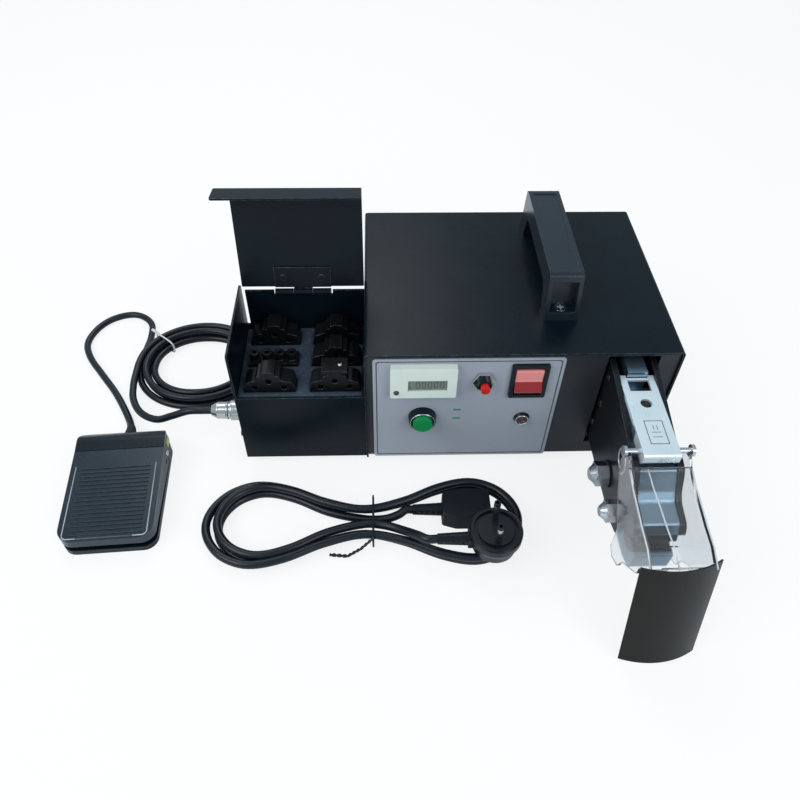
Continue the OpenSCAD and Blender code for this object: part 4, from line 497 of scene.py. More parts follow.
# Nodes whose solids stay, with the finish of each
FINISH_OF = {
    "black_coat": ("housing_cover", "storage_tray", "lid_panel", "wall_hinge_leaf", "lid_hinge_leaf"),
    "dark_sheet": ("base_chassis",),
    "zinc": ("top_bracket", "pedal_pin"),
    "rubber": ("rubber_feet",),
    "black_oxide": ("head_plate_left", "head_plate_right", "bolt_washers", "cover_screws"),
    "handle_plastic": ("carry_handle",),
    "black_plastic": ("breaker_body", "rocker_frame", "button_bezel", "led_bezel", "inlet_socket",
                      "mains_plug", "iec_connector"),
    "cream_plastic": ("counter_body",),
    "rocker_red_painted_light": ("rocker",),
    "grey_panel": ("control_panel",),
    "dark_glass": ("counter_window",),
    "chrome": ("breaker_nut", "hinge_pin", "handle_screws"),
    "line_dark": ("counter_key",),
    "red_plastic": ("breaker_button",),
    "green_plastic": ("green_button",),
    "dark_red": ("led_lens",),
    "jaw_steel": ("upper_jaw", "lower_jaw"),
    "die_steel": ("spare_dies_left", "spare_dies_right", "spare_locators", "upper_die", "lower_die"),
    "bright_steel": ("jaw_roller", "cam_shaft", "cam_bearings", "through_bolts", "guard_pivot_screws"),
    "clear_plastic": ("guard",),
    "flap_black": ("guard_flap",),
    "cast_grey": ("gearbox",),
    "motor_steel": ("motor",),
    "board_green": ("control_board",),
    "nickel": ("aviation_socket", "pedal_plug"),
    "pedal_plastic": ("pedal_base",),
    "tread_plastic": ("pedal_tread",),
}


def finish_solids():
    for name, nodes in FINISH_OF.items():
        for each in nodes:
            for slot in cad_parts[each].material_slots:
                slot.material = MATERIALS[name]


# ---------------------------------------------------------------- leads


def wound(turns, start, centre, half, inset, bulge, low, step, rings=24):
    """Flat winding in two layers: at a share s of its way the angle is start + turns·360° and the point lies
    on the oval of the half sizes less the inset(s), widened across by bulge(angle); its height is low, climbs
    through half a turn at the middle, and goes on one step higher."""
    s = np.linspace(0.0, 1.0, int(turns * rings) + 1)
    angle = np.radians(start + 360.0 * turns * s)
    drawn = inset(s)
    x = centre[0] + (half[0] - drawn) * np.cos(angle)
    y = centre[1] + (half[1] + bulge(angle) - drawn) * np.sin(angle)
    z = low + step * np.clip((s - 0.5) * turns * 2 + 0.5, 0.0, 1.0)
    return np.column_stack([x, y, z])


def cord_curve(name, points, diameter):
    """Cord as a round curve through its route's points."""
    data = bpy.data.curves.new(name, "CURVE")
    data.dimensions = "3D"
    data.bevel_depth = diameter / 2
    data.bevel_resolution = 5
    data.resolution_u = 6
    data.use_fill_caps = True
    line = data.splines.new("BEZIER")
    line.bezier_points.add(len(points) - 1)
    line.bezier_points.foreach_set("co", np.asarray(points, float).ravel())
    points = np.asarray(points, float)
    back = np.linalg.norm(np.diff(points, axis=0, prepend=points[:1]), axis=1, keepdims=True)
    ahead = np.linalg.norm(np.diff(points, axis=0, append=points[-1:]), axis=1, keepdims=True)
    way_on = np.gradient(points, axis=0)
    way_on /= np.linalg.norm(way_on, axis=1, keepdims=True)
    line.bezier_points.foreach_set("handle_left", (points - way_on * back / 3).ravel())
    line.bezier_points.foreach_set("handle_right", (points + way_on * ahead / 3).ravel())
    data.materials.append(MATERIALS["cord_black"])
    made = bpy.data.objects.new(name, data)
    bpy.context.scene.collection.objects.link(made)
    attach(made, MACHINE)
    return made


def tie_loop(centre, along, half_w, low, high, r):
    """Wire bent round a bundle: across = half_w·|cos a|^½ and height = mean + half·|sin a|^½, each with its
    sign."""
    a = np.linspace(0, 2 * np.pi, 64, endpoint=False)
    across = half_w * np.sign(np.cos(a)) * np.abs(np.cos(a)) ** 0.5
    height = (low + high) / 2 + (high - low) / 2 * np.sign(np.sin(a)) * np.abs(np.sin(a)) ** 0.5
    side = np.array((np.cos(along), np.sin(along)))
    lead = np.array((-side[1], side[0]))
    path = np.column_stack([centre[0] + across * side[0], centre[1] + across * side[1], height])
    return swept(at(path), r, 8, True, (lead[0], lead[1], 0.0))


def twisted(path, r, turns):
    """Two wire ends twisted round each other: each runs at 0.9·r from the line, half a turn apart, and half as
    far along the line's x so that the twist stays slim."""
    path = np.asarray(path, float)
    s = np.linspace(0, 1, 60)
    knots = np.linspace(0, 1, len(path))
    line = np.column_stack([np.interp(s, knots, path[:, k]) for k in range(3)])
    made = []
    for phase in (0.0, np.pi):
        turn = 2 * np.pi * turns * s + phase
        offset = np.column_stack([np.sin(turn) * 0.5, np.cos(turn), np.sin(turn)]) * r / MM * 0.9
        made.append(swept(at(line + offset), r, 8))
    return joined(made)


# Route of the pedal's cord in millimetres, apart from its coil; None stands for the height of a cord that lies
PEDAL_EXIT = ((-195, 19.6, 8), (-195, 25, 8), (-197, 34, 5), (-201, 44, 3.2))
PEDAL_BOW = ((-211, 62), (-222, 79), (-238, 100), (-254, 122), (-261, 141), (-256, 162), (-243, 176),
             (-224, 180), (-208, 168), (-204, 148), (-205, 130), (-205, 114))
SOCKET_RISE = ((-205, 96, 9.4), (-204, 80, 9.6), (-200, 62, 10), (-190, 46, 11), (-174, 35, 15), (-158, 31, 24),
               (-144, 30, 30.5), (-133, 30, 31), (-125, 30, 31))
# Its coil: turns, middle, half sizes, how far the turns draw in, and the second layer's rise
COIL_TURNS, COIL_AT, COIL_HALF, COIL_DRAW, COIL_LAYER = 4, (-150, 108), (55, 50), 14, 6.45
# The coil's tie: its place round the coil in degrees, its reach, half width and two heights
TIE_TURN, TIE_REACH, COIL_TIE_HALF, COIL_TIE_LOW, COIL_TIE_HIGH = 140, (48, 43), 11.6, 0.9, 13.4
# Rubber sleeve where the cord leaves the pedal: its line and its radii
SLEEVE = ((-195, 19.6, 8), (-195, 24, 8), (-195.4, 28.5, 7.1), (-196.4, 32.5, 5.7), (-197.6, 36, 4.6))
SLEEVE_R = (4.9, 4.7, 4.3, 3.8, 3.3)
# Route of the mains lead apart from its hank
INLET_WAY = ((35, -53.5, 9), (30, -53.5, 9), (24, -56.5, 6.8), (14, -58.4, 4.2))
PLUG_WAY = ((14, -68, 10.4), (26, -74, 13.4), (37, -83, 20.5), (44, -88, 23), (51, -88, 23))
# Its hank: turns, middle, half sizes, how far the turns draw in, how far its ends bulge, and the layer's rise
HANK_TURNS, HANK_AT, HANK_HALF, HANK_DRAW, HANK_BULGE, HANK_LAYER = 2.5, (-1, -62), (119, 15.5), 11.25, 45, 6.95
HANK_TIE_AT, HANK_TIE_HALF, HANK_TIE_LOW, HANK_TIE_HIGH = (5, -62), 20.4, 0.9, 14.6
HANK_TIE_ENDS = ((5, -80, 12.5), (-4, -86, 8), (-14, -89, 3), (-27, -87, 2))
# The plug's face, with its two pins either side and the earth contact's ring
PLUG_AT = (92, -88)
PIN_FOOT, PIN_SIDE, PIN_L, EARTH_FOOT = 34.4, 9.5, 19, 32.4
EARTH_RING = ((0, 3.0), (0.5, 3.0), (0.6, 2.4))


def make_pedal_cord():
    """Cord from the pedal's rear through its bow and coil to the round connector, with tie and sleeve."""
    d = sizes().pedal_cord_d
    low = d / 2 / MM
    coil = wound(COIL_TURNS, 180, COIL_AT, COIL_HALF, lambda s: COIL_DRAW * (1 - np.abs(1 - 2 * s)),
                 lambda a: 0 * a, low, COIL_LAYER)
    bow = [(x, y, low) for x, y in PEDAL_BOW]
    route = at(np.concatenate([PEDAL_EXIT, bow, coil, SOCKET_RISE]))
    cord = cord_curve("pedal_cord_laid", route, d)
    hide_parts("pedal_cord", "pedal_coil", "plug_cord")
    spot = np.radians(TIE_TURN)
    centre = np.array(COIL_AT) + np.array(TIE_REACH) * (np.cos(spot), np.sin(spot))
    r = sizes().tie_d / 2
    out = centre + (-9.5, 8)
    ends = [(out[0] + 4, out[1] - 4, 13.6), (out[0] - 1, out[1] + 2, 12.6), (out[0] - 6, out[1] + 8, 9.6)]
    points, faces = joined([tie_loop(centre, spot, COIL_TIE_HALF, COIL_TIE_LOW, COIL_TIE_HIGH, r),
                            twisted(ends, r, 3)])
    tie = piece("coil_tie_wire", points, faces, "tie_white")
    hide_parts("coil_tie")
    points, faces = swept(at(SLEEVE), np.array(SLEEVE_R) * MM, 20)
    relief = piece("pedal_cord_sleeve", points, faces, "rubber")


def make_mains_lead():
    """Loose lead from the inlet connector through its hank to the plug, with tie and pins."""
    d = sizes().mains_lead_d
    loops = wound(HANK_TURNS, 90, HANK_AT, HANK_HALF, lambda s: HANK_DRAW * np.abs(1 - 2 * s),
                  lambda a: HANK_BULGE * (1 - np.cos(np.pi * np.abs(np.cos(a)))) / 2, d / 2 / MM, HANK_LAYER)
    route = at(np.concatenate([INLET_WAY, loops, PLUG_WAY]))
    lead = cord_curve("mains_lead_laid", route, d)
    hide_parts("lead_hank", "lead_ends")
    r = sizes().tie_d / 2
    points, faces = joined([tie_loop(HANK_TIE_AT, np.pi / 2, HANK_TIE_HALF, HANK_TIE_LOW, HANK_TIE_HIGH, r),
                            twisted(HANK_TIE_ENDS, r, 5)])
    wire = piece("lead_tie_wire", points, faces, "cord_black")
    pins = make_plug_pins()


def make_plug_pins():
    """Two round pins with eased tips, and the ring of the earth contact."""
    r = sizes().pin_d / 2 / MM
    pin = ((0, r), (PIN_L - 3, r), (PIN_L - 1, r * 0.86), (PIN_L, r * 0.5))
    parts = [turned(pin, at((PLUG_AT[0], PLUG_AT[1] + side, PIN_FOOT)), (0, 0, 1), 28)
             for side in (-PIN_SIDE, PIN_SIDE)]
    parts += [turned(EARTH_RING, at((*PLUG_AT, EARTH_FOOT)), (0, 0, 1), 24)]
    points, faces = joined(parts)
    return piece("plug_pins", points, faces, "nickel")


# ---------------------------------------------------------------- foam

# Pockets of the foam in millimetres: half sizes, depth, width of their walls' slope, half a die's thickness
POCKET_HALF, POCKET_SINK, POCKET_SLOPE, DIE_HALF = (19.3, 7.3), 12.2, 0.25, 7
# Where the grid is drawn close beside a pocket's edge
EDGE_LINES = (-2.4, -1.2, -0.6, -0.25, 0.0, 0.25)
# Width of the rounding beside a pocket and round the block, and depth and waves of the skin
LIP_W, RIM_W = 0.9, 1.2
SKIN_H, SKIN_WAVES = 0.25, (210, 260)


def make_foam():
    """Foam block with pockets: its height is the top, less the pocket's depth where the distance to a pocket's
    edge is inside it, less a small rounded lip beside each edge and round the block."""
    low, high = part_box("foam_insert")
    lip = sizes().foam_lip
    half = np.array(POCKET_HALF) * MM
    left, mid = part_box("spare_dies_left"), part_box("spare_locators")
    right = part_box("spare_dies_right")
    columns = np.array([(side[0].x + side[1].x) / 2 for side in (left, right)])
    rows = np.array([left[0].y + DIE_HALF * MM, (mid[0].y + mid[1].y) / 2, left[1].y - DIE_HALF * MM])
    near = np.array(EDGE_LINES) * MM

    def lines(start, end, centres, reach):
        edges = np.concatenate([np.concatenate([c - reach + near, c + reach - near]) for c in centres])
        every = np.unique(np.round(np.concatenate([np.linspace(start, end, 70), edges]), 6))
        every = every[(every >= start) & (every <= end)]
        return np.concatenate([every[:1], every, every[-1:]])

    x, y = np.meshgrid(lines(low.x, high.x, columns, half[0]), lines(low.y, high.y, rows, half[1]))
    away = np.full(x.shape, 1.0)
    for cx in columns:
        for cy in rows:
            away = np.minimum(away, np.maximum(np.abs(x - cx) - half[0], np.abs(y - cy) - half[1]))
    rim = np.minimum(np.minimum(x - low.x, high.x - x), np.minimum(y - low.y, high.y - y))
    z = high.z - POCKET_SINK * MM * np.clip(-away / (POCKET_SLOPE * MM), 0, 1)
    z -= lip * np.exp(-(np.maximum(away, 0) / (LIP_W * MM)) ** 2) * (away > 0)
    z -= lip * np.exp(-(rim / (RIM_W * MM)) ** 2)
    z -= SKIN_H * MM * (np.sin(x * SKIN_WAVES[0]) * np.cos(y * SKIN_WAVES[1]) + 1) / 2
    z[0], z[-1], z[:, 0], z[:, -1] = low.z, low.z, low.z, low.z
    number = np.arange(x.size).reshape(x.shape)
    foot = np.concatenate([number[0, :-1], number[:-1, -1], number[-1, :0:-1], number[:0:-1, 0]])
    faces = quads(*x.shape) + [foot[::-1].tolist()]
    foam = piece("foam_block", np.stack([x, y, z], -1).reshape(-1, 3), faces, "foam", smooth=False)
    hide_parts("foam_insert")


# ---------------------------------------------------------------- trim

# Turned profiles in millimetres: the way along the axis, then the radius
LAMP_RING = ((-0.1, 4.2), (0.35, 4.3), (0.5, 4.7), (0.35, 5.1), (-0.1, 5.2))
BUTTON_RING = ((-0.6, 8.4), (0.25, 8.5), (0.45, 9.0), (0.3, 9.5), (-0.6, 9.7))
PLATE_RING = ((-0.2, 8.05), (0.5, 8.05), (0.7, 8.5), (0.7, 9.2), (0.4, 9.7), (-0.2, 9.8))
SOCKET_SCREW = ((-0.3, 2.9), (0.9, 2.9), (1.6, 2.2), (1.7, 1.4), (1.0, 1.25), (0.95, 0.2))
PAN_SCREW = ((-0.4, 2.6), (0.6, 2.6), (1.1, 1.9), (1.15, 0.9), (0.6, 0.5))
# Dark disc of painted shade set inside the bracket's hole
HOLE_SHADE_DISC = ((-1.9, 3.9), (-1.6, 3.9), (-1.5, 0.4))
STUD = ((-0.5, 1.9), (0.3, 1.9), (0.7, 1.3), (0.75, 0.3))
PLUG_SHOULDER = ((13, 7.0), (13.6, 7.3), (14.4, 7.3), (15, 7.0))
# Knurled ring: along the axis, how far its radius departs from the plug's, and 1 where it is knurled
KNURL = ((0.0, -0.6, 0), (0.5, 0.05, 0), (1.2, 0.1, 0), (1.5, -0.1, 1), (9.6, -0.1, 1), (9.9, 0.1, 0),
         (10.7, 0.1, 0), (11.3, -0.6, 0))
KNURL_TEETH, KNURL_H = 40, 0.22
# Thin trim is let this deep into what carries it, stands this proud, and has its edge eased this much
INK = (-0.05, 0.05, 0.02)
DIGIT = (-0.04, 0.05, 0.02)
MARK = (-0.05, 0.1, 0.04)
LABEL = (-0.3, 0.3, 0.1)
# Line round the grey plate: inset, corner radius and height
PANEL_LINE_IN, PANEL_LINE_R, PANEL_LINE_H = 2.2, 2.0, 0.06
# Two marks beside the start button: across, half height and heights above the bench
MARK_U, MARK_HALF, MARK_ZS = (66, 72), 0.8, (63.5, 54.0)
# Bars of one blank digit from the counter window's right foot, in millimetres: across, then up
DIGIT_BARS = (((-4.6, -1.9), (1.9, 2.45)), ((-4.6, -1.9), (7.6, 8.15)), ((-4.7, -4.2), (2.3, 7.8)),
              ((-2.3, -1.8), (2.3, 7.8)))
DIGITS, DIGIT_PITCH = 5, 4.4
WINDOW_MARK = ((1.2, 2.0), (1.6, 3.0))
# Side plate: its hole and its small screws, as depth and height
PLATE_HOLE = (-66.5, 84)
PLATE_SCREWS = ((-6, 102), (-6, 75), (-2, 50))
# Bracket: its hole, and its engraved frame with four short lines, as across and depth
BRACKET_HOLE_Y, BRACKET_HOLE_SHIFT = -36.5, 0.3
BRACKET_LINES = (((186, 186.5), (-72, -52)), ((198, 198.5), (-72, -52)), ((186, 198.5), (-72, -71.5)),
                 ((186, 198.5), (-52.5, -52)), ((189, 195.5), (-66.2, -65.8)), ((189, 195.5), (-62.2, -61.8)),
                 ((191, 191.4), (-60, -56)), ((193.5, 193.9), (-60, -56)))
# Guard's roof line, as shares of its reach and drop from the pivot
ROOF_SHARES = ((-0.985, -0.232), (-0.83, -0.168), (-0.65, -0.155), (-0.47, -0.128), (-0.3, -0.108),
               (-0.14, -0.068))
# Painted highlights along the guard's edges: inset and radius; painted highlight on the ridge of its fold:
# radius, rise and its way across from front to rear
EDGE_IN, EDGE_R, RIDGE_R, RIDGE_RISE, RIDGE_X = 0.45, 0.55, 0.5, 0.25, (188.5, 183.0)
# Pedal: its turn in degrees, half width, length, and the tread's height at the middle of its slope and its rise
PEDAL_TURN, PEDAL_HALF, PEDAL_L, TREAD_FOOT, TREAD_RISE = 3.5, 34.0, 100.0, 19.0, 8.0
# Painted glints beside the ribs, drawn as bright lines: half width, ends, radius of its front corner, height
# and radius
LINE_U, LINE_V, LINE_TIP, LINE_BEND, LINE_W, LINE_R = 30.0, (12.6, -48.7), 20.0, 3.5, 0.15, 0.4
# Bare patch and screw on the pedal's right side, as depth and height
PATCH = ((34.5, 42.5), (14.0, 21.0))
SIDE_SCREW_AT = (28.5, 15.0)
STUD_SHIFT = 4


def make_panel_trim():
    """Line round the grey plate, two small marks beside the start button, and the counter's blank digits."""
    low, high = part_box("control_panel")
    u = np.array((low.x, high.x)) / MM - ZERO[0] + (PANEL_LINE_IN, -PANEL_LINE_IN)
    v = np.array((low.z, high.z)) / MM + (PANEL_LINE_IN, -PANEL_LINE_IN)
    front = on_front(low.y / MM - ZERO[1])
    points, faces = band(round_rect(u, v, PANEL_LINE_R), sizes().border_w / MM, INK[0], PANEL_LINE_H, front)
    piece("panel_border", points, faces, "line_dark", smooth=False)
    marks = [slab(round_rect(MARK_U, (z - MARK_HALF, z + MARK_HALF), 0.5, 4), *MARK, front) for z in MARK_ZS]
    points, faces = joined(marks)
    piece("panel_marks", points, faces, "mark_green", smooth=False)
    low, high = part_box("counter_window")
    left, right, foot = low.x / MM - ZERO[0], high.x / MM - ZERO[0], low.z / MM
    starts = [(right - k * DIGIT_PITCH, DIGIT_BARS) for k in range(DIGITS)] + [(left, (WINDOW_MARK,))]
    glass = on_front(low.y / MM - ZERO[1])
    bars = [slab(round_rect(np.add(across, start), np.add(up, foot), 0.2, 3), *DIGIT, glass)
            for start, zones in starts for across, up in zones]
    points, faces = joined(bars)
    piece("counter_digits", points, faces, "line_dark", smooth=False)


def make_control_trim():
    """Turned rings round the lamp and the start button."""
    for name, holder, profile, steps, made_of in (
            ("led_ring", "led_bezel", LAMP_RING, 48, "chrome"),
            ("button_ring", "button_bezel", BUTTON_RING, 56, "bright_steel")):
        low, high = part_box(holder)
        centre = ((low.x + high.x) / 2, low.y, (low.z + high.z) / 2)
        points, faces = turned_ring(profile, centre, (0, -1, 0), steps)
        piece(name, points, faces, made_of)


def make_head_trim():
    """Bright ring in the side plate's hole, small screws, a dark disc of painted shade in the bracket's hole,
    and engraved lines.
    """
    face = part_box("head_plate_left")[0].x / MM - ZERO[0]
    points, faces = turned_ring(PLATE_RING, at((face, *PLATE_HOLE)), (-1, 0, 0), 64)
    piece("plate_hole_ring", points, faces, "bright_steel")
    points, faces = joined([turned(SOCKET_SCREW, at((face, *spot)), (-1, 0, 0), 24) for spot in PLATE_SCREWS])
    piece("plate_screws", points, faces, "black_oxide")
    low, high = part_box("top_bracket")
    hole = ((low.x + high.x) / 2 + BRACKET_HOLE_SHIFT * MM, at((0, BRACKET_HOLE_Y, 0))[1], high.z)
    # Dark rubber disc in the bracket's hole: painted shade where the hole lies in shadow
    points, faces = turned(HOLE_SHADE_DISC, hole, (0, 0, 1), 40)
    piece("bracket_hole_painted_shade", points, faces, "rubber")
    top = on_top(high.z / MM)
    points, faces = joined([slab(round_rect(u, v, 0.15, 3), *INK, top) for u, v in BRACKET_LINES])
    piece("bracket_lines", points, faces, "line_dark", smooth=False)


def make_guard_highlights():
    """Painted highlights: bright lines along both sides of the guard's roof, and along the ridge of its fold.
    """
    low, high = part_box("guard")
    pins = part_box("guard_pivot_screws")
    pivot = np.array(((pins[0].y + pins[1].y) / 2, (pins[0].z + pins[1].z) / 2))
    roof = pivot + np.array(ROOF_SHARES) * (pivot - (low.y, low.z))
    lines = [(np.full(len(roof), x), roof, EDGE_R) for x in (low.x + EDGE_IN * MM, high.x - EDGE_IN * MM)]
    lines.append((np.linspace(*RIDGE_X, len(roof)) * MM, roof + (0, RIDGE_RISE * MM), RIDGE_R))
    points, faces = joined([swept(np.column_stack([x, line]), r * MM, 10) for x, line, r in lines])
    piece("guard_painted_highlight_edges", points, faces, "painted_highlight_edge", body="guard")


def make_pedal_trim():
    """Bright lines of painted glint beside the ribs, a bare patch and a screw on the pedal's right side."""
    turn = np.radians(PEDAL_TURN)
    low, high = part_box("pedal_base")
    middle = np.array(((low.x + high.x) / 2, (low.y + high.y) / 2)) / MM - ZERO[:2]

    def on_pedal(u, v, z):
        """Place on the turned pedal: u across, v along from the middle, z above the bench."""
        x = middle[0] + u * np.cos(turn) - v * np.sin(turn)
        y = middle[1] + u * np.sin(turn) + v * np.cos(turn)
        return at(np.column_stack([x, y, z]))

    def on_side(p):
        """Plate on the pedal's right side: u along to the rear, v up, w out of the side."""
        return on_pedal(PEDAL_HALF + p[:, 2], p[:, 0], p[:, 1])

    # Painted glints: pale lines along both sides of the tread
    bend = np.radians(np.linspace(0, 90, 7))
    u = np.concatenate([[LINE_U], LINE_U - LINE_BEND + LINE_BEND * np.cos(bend), [LINE_TIP]])
    v = np.concatenate([LINE_V[:1], LINE_V[1] + LINE_BEND * (1 - np.sin(bend)), LINE_V[1:]])
    z = TREAD_FOOT + TREAD_RISE * (v / PEDAL_L + 0.5) + LINE_W
    points, faces = joined([swept(on_pedal(side * u, v, z), LINE_R * MM, 10) for side in (-1, 1)])
    piece("tread_painted_glints", points, faces, "painted_glint_pale", body="tread")
    points, faces = slab(round_rect(*PATCH, 1.2, 4), *LABEL, on_side)
    piece("pedal_label_blank", points, faces, "sticker", smooth=False)
    points, faces = turned(PAN_SCREW, on_side(np.array([(*SIDE_SCREW_AT, 0.0)]))[0],
                           (np.cos(turn), np.sin(turn), 0), 24)
    piece("pedal_side_screw", points, faces, "nickel")


def make_plug_knurl():
    """Knurled coupling ring: its radius is r + h·cos(teeth·a) between two plain shoulders."""
    low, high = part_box("pedal_plug")
    r = (high.z - low.z) / 2 / MM
    end = (high.x, (low.y + high.y) / 2, (low.z + high.z) / 2)
    profile = [(along, r + rise, knurled) for along, rise, knurled in KNURL]
    points, faces = joined([turned_ring(profile, end, (-1, 0, 0), 160, KNURL_TEETH, KNURL_H),
                            turned_ring(PLUG_SHOULDER, end, (-1, 0, 0), 48)])
    piece("plug_knurl", points, faces, "nickel")


def make_die_stud():
    """Small bright stud on the front right die."""
    low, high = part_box("spare_dies_right")
    centre = ((low.x + high.x) / 2 + STUD_SHIFT * MM, low.y + DIE_HALF * MM, high.z)
    points, faces = turned(STUD, centre, (0, 0, 1), 24)
    piece("die_stud", points, faces, "bright_steel")


# ---------------------------------------------------------------- stage

# Camera of the photograph: yaw, tilt down and roll in degrees, its place in metres, its lens and sensor
VIEW_ANGLES = (2.25904, 47.71992, 1.01339)
VIEW_AT = (0.011547, -0.362133, 0.472235)
LENS, SENSOR, NEAREST = 32.65, 36.0, 0.02
# Floor: half size in metres, roughness, gleam, scale and depth of its paper's mottle, share that shows as white
FLOOR_HALF, FLOOR_ROUGH, FLOOR_GLEAM, FIBRE_SCALE, FIBRE_SHADE, WHITE_SHARE = 6.0, 0.95, 0.1, 300.0, 0.99, 0.82
SKY_SHADE, SKY_STRENGTH = (0.68, 0.86, 1.0), 0.62
# Lamps: place, what each one faces, power in watts and width in metres
LAMPS = {"window_left": ((-0.9, -0.5, 1.1), (0.0, 0.0, 0.05), 9.0, 0.9),
         "window_right": ((0.9, -0.9, 0.9), (0.05, -0.02, 0.05), 6.0, 0.7),
         "ceiling": ((-0.2, 0.9, 1.2), (0.0, 0.05, 0.1), 5.0, 0.8)}


def make_camera():
    """Camera at the photograph's angle."""
    yaw, pitch, roll = np.radians(VIEW_ANGLES)
    forward = Vector((np.sin(yaw) * np.cos(pitch), np.cos(yaw) * np.cos(pitch), -np.sin(pitch)))
    right = Vector((np.cos(yaw), -np.sin(yaw), 0.0))
    up = right.cross(forward)
    across = np.cos(roll) * right + np.sin(roll) * up
    rise = -np.sin(roll) * right + np.cos(roll) * up
    turn = Matrix((across, rise, -forward)).transposed().to_4x4()
    lens = bpy.data.cameras.new("photo_camera")
    lens.lens = LENS
    lens.sensor_width = SENSOR
    lens.clip_start = NEAREST
    camera = bpy.data.objects.new("photo_camera", lens)
    camera.matrix_world = Matrix.Translation(VIEW_AT) @ turn
    bpy.context.scene.collection.objects.link(camera)
    bpy.context.scene.camera = camera


def make_floor():
    """Plain pale floor, lit by the lamps and partly white of itself to the camera and through clear plastic."""
    mesh = bpy.data.meshes.new("floor")
    corners = [(x * FLOOR_HALF, y * FLOOR_HALF, 0) for x, y in ((-1, -1), (1, -1), (1, 1), (-1, 1))]
    mesh.from_pydata(corners, [], [[0, 1, 2, 3]])
    floor = bpy.data.objects.new("floor", mesh)
    bpy.context.scene.collection.objects.link(floor)
    paper = bpy.data.materials.new("floor_paper")
    paper.use_nodes = True
    tree = paper.node_tree
    matt = tree.nodes["Principled BSDF"]
    shade = tuple(colours().floor)
    matt.inputs["Roughness"].default_value = FLOOR_ROUGH
    matt.inputs["Specular IOR Level"].default_value = FLOOR_GLEAM
    fibre = node(tree, "ShaderNodeTexNoise")
    fibre.inputs["Scale"].default_value = FIBRE_SCALE
    tone = node(tree, "ShaderNodeMix", data_type="RGBA")
    tone.inputs["A"].default_value = tuple(c * FIBRE_SHADE for c in shade) + (1.0,)
    tone.inputs["B"].default_value = shade + (1.0,)
    tree.links.new(node(tree, "ShaderNodeTexCoord").outputs["Object"], fibre.inputs["Vector"])
    tree.links.new(fibre.outputs["Fac"], tone.inputs["Factor"])
    tree.links.new(tone.outputs["Result"], matt.inputs["Base Color"])
    lit = node(tree, "ShaderNodeEmission")
    ray = node(tree, "ShaderNodeLightPath")
    seen = sums(tree, "MAXIMUM", ray.outputs["Is Camera Ray"], ray.outputs["Is Transmission Ray"])
    mixed = node(tree, "ShaderNodeMixShader")
    tree.links.new(sums(tree, "MULTIPLY", seen, WHITE_SHARE), mixed.inputs[0])
    tree.links.new(matt.outputs[0], mixed.inputs[1])
    tree.links.new(lit.outputs[0], mixed.inputs[2])
    tree.links.new(mixed.outputs[0], tree.nodes["Material Output"].inputs["Surface"])
    mesh.materials.append(paper)


def make_light():
    """White background to look at, a pale blue sky to be lit by, and three soft lamps."""
    world = bpy.data.worlds.new("studio")
    bpy.context.scene.world = world
    world.use_nodes = True
    air = world.node_tree
    sky = air.nodes["Background"]
    sky.inputs["Color"].default_value = SKY_SHADE + (1.0,)
    sky.inputs["Strength"].default_value = SKY_STRENGTH
    white = node(air, "ShaderNodeBackground")
    white.inputs["Strength"].default_value = 1.0
    rays = node(air, "ShaderNodeLightPath")
    pick = node(air, "ShaderNodeMixShader")
    seen = sums(air, "MAXIMUM", rays.outputs["Is Camera Ray"], rays.outputs["Is Transmission Ray"])
    air.links.new(seen, pick.inputs[0])
    air.links.new(sky.outputs[0], pick.inputs[1])
    air.links.new(white.outputs[0], pick.inputs[2])
    air.links.new(pick.outputs[0], air.nodes["World Output"].inputs["Surface"])
    for name, (place, aim, watts, width) in LAMPS.items():
        lamp = bpy.data.lights.new(name, "AREA")
        lamp.energy = watts
        lamp.size = width
        made = bpy.data.objects.new(name, lamp)
        facing = (Vector(aim) - Vector(place)).to_track_quat("-Z", "Y").to_matrix().to_4x4()
        made.matrix_world = Matrix.Translation(place) @ facing
        bpy.context.scene.collection.objects.link(made)


def make_stage():
    """Camera, floor and light, with colours shown as they are."""
    bpy.context.scene.view_settings.view_transform = "Standard"
    make_camera()
    make_floor()
    make_light()


# ---------------------------------------------------------------- operators


class Maker:
    """Runs an operator's making functions one after the other."""

    def execute(self, context):
        for step in self.steps:
            step()
        return {"FINISHED"}


class CRIMPER_OT_stage(Maker, bpy.types.Operator):
    """Camera, floor and soft light"""

    bl_idname = "crimper.stage"
    bl_label = "Stage"
    steps = (make_stage,)


class CRIMPER_OT_finishes(Maker, bpy.types.Operator):
    """Procedural finishes on every solid that stays"""

    bl_idname = "crimper.finishes"
    bl_label = "Finishes"
    steps = (make_finishes, finish_solids)


class CRIMPER_OT_pedal_cord(Maker, bpy.types.Operator):
    """Foot pedal's cord with its coil, tie and sleeve"""

    bl_idname = "crimper.pedal_cord"
    bl_label = "Pedal cord"
    steps = (make_pedal_cord,)


class CRIMPER_OT_mains_lead(Maker, bpy.types.Operator):
    """Mains lead with its tie and the plug's pins"""

    bl_idname = "crimper.mains_lead"
    bl_label = "Mains lead"
    steps = (make_mains_lead,)


class CRIMPER_OT_foam(Maker, bpy.types.Operator):
    """Foam block with pockets for the spare dies"""

    bl_idname = "crimper.foam"
    bl_label = "Foam block"
    steps = (make_foam,)


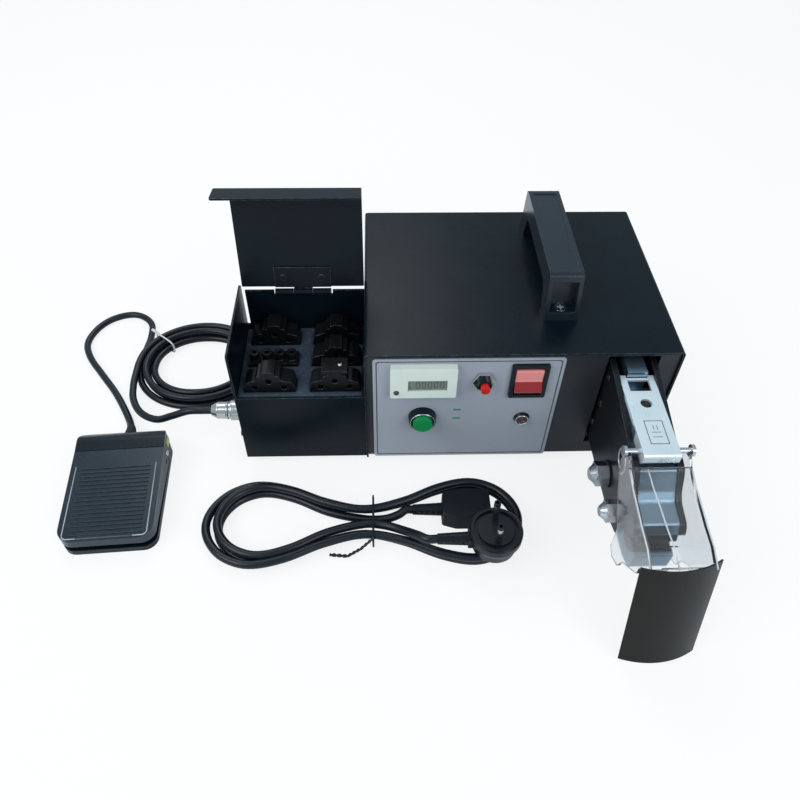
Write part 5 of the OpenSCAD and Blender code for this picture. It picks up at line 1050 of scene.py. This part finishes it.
class CRIMPER_OT_panel(Maker, bpy.types.Operator):
    """Lines, marks, digits and rings of the control plate"""

    bl_idname = "crimper.panel"
    bl_label = "Control plate trim"
    steps = (make_panel_trim, make_control_trim)


class CRIMPER_OT_head(Maker, bpy.types.Operator):
    """Ring, screws, disc of painted shade in the bracket's hole and lines of the crimping head, and the guard's
    painted highlights
    """

    bl_idname = "crimper.head"
    bl_label = "Head trim"
    steps = (make_head_trim, make_guard_highlights)


class CRIMPER_OT_pedal(Maker, bpy.types.Operator):
    """Painted glint lines, patch and screw of the pedal, and the knurled ring of its plug"""

    bl_idname = "crimper.pedal"
    bl_label = "Pedal trim"
    steps = (make_pedal_trim, make_plug_knurl)


class CRIMPER_OT_dies(Maker, bpy.types.Operator):
    """Stud on the front right spare die"""

    bl_idname = "crimper.dies"
    bl_label = "Die stud"
    steps = (make_die_stud,)


OPERATORS = (CRIMPER_OT_stage, CRIMPER_OT_finishes, CRIMPER_OT_pedal_cord, CRIMPER_OT_mains_lead,
             CRIMPER_OT_foam, CRIMPER_OT_panel, CRIMPER_OT_head, CRIMPER_OT_pedal, CRIMPER_OT_dies)


class CRIMPER_PT_parts(bpy.types.Panel):
    """Makes the machine's pieces one by one"""

    bl_label = "Crimping machine"
    bl_space_type = "VIEW_3D"
    bl_region_type = "UI"
    bl_category = "Crimper"

    def draw(self, context):
        for operator in OPERATORS:
            self.layout.operator(operator.bl_idname)
        for group_of in (context.scene.crimper_sizes, context.scene.crimper_colours):
            for name in group_of.__annotations__:
                self.layout.prop(group_of, name)


CLASSES = (CrimperSizes, CrimperColours) + OPERATORS + (CRIMPER_PT_parts,)


def register():
    for each in CLASSES:
        bpy.utils.register_class(each)
    bpy.types.Scene.crimper_sizes = PointerProperty(type=CrimperSizes)
    bpy.types.Scene.crimper_colours = PointerProperty(type=CrimperColours)


def unregister():
    del bpy.types.Scene.crimper_colours
    del bpy.types.Scene.crimper_sizes
    for each in reversed(CLASSES):
        bpy.utils.unregister_class(each)


def main():
    register()
    for name in ("stage", "finishes", "pedal_cord", "mains_lead", "foam", "panel", "head", "pedal", "dies"):
        getattr(bpy.ops.crimper, name)()


if __name__ == "__main__":
    main()
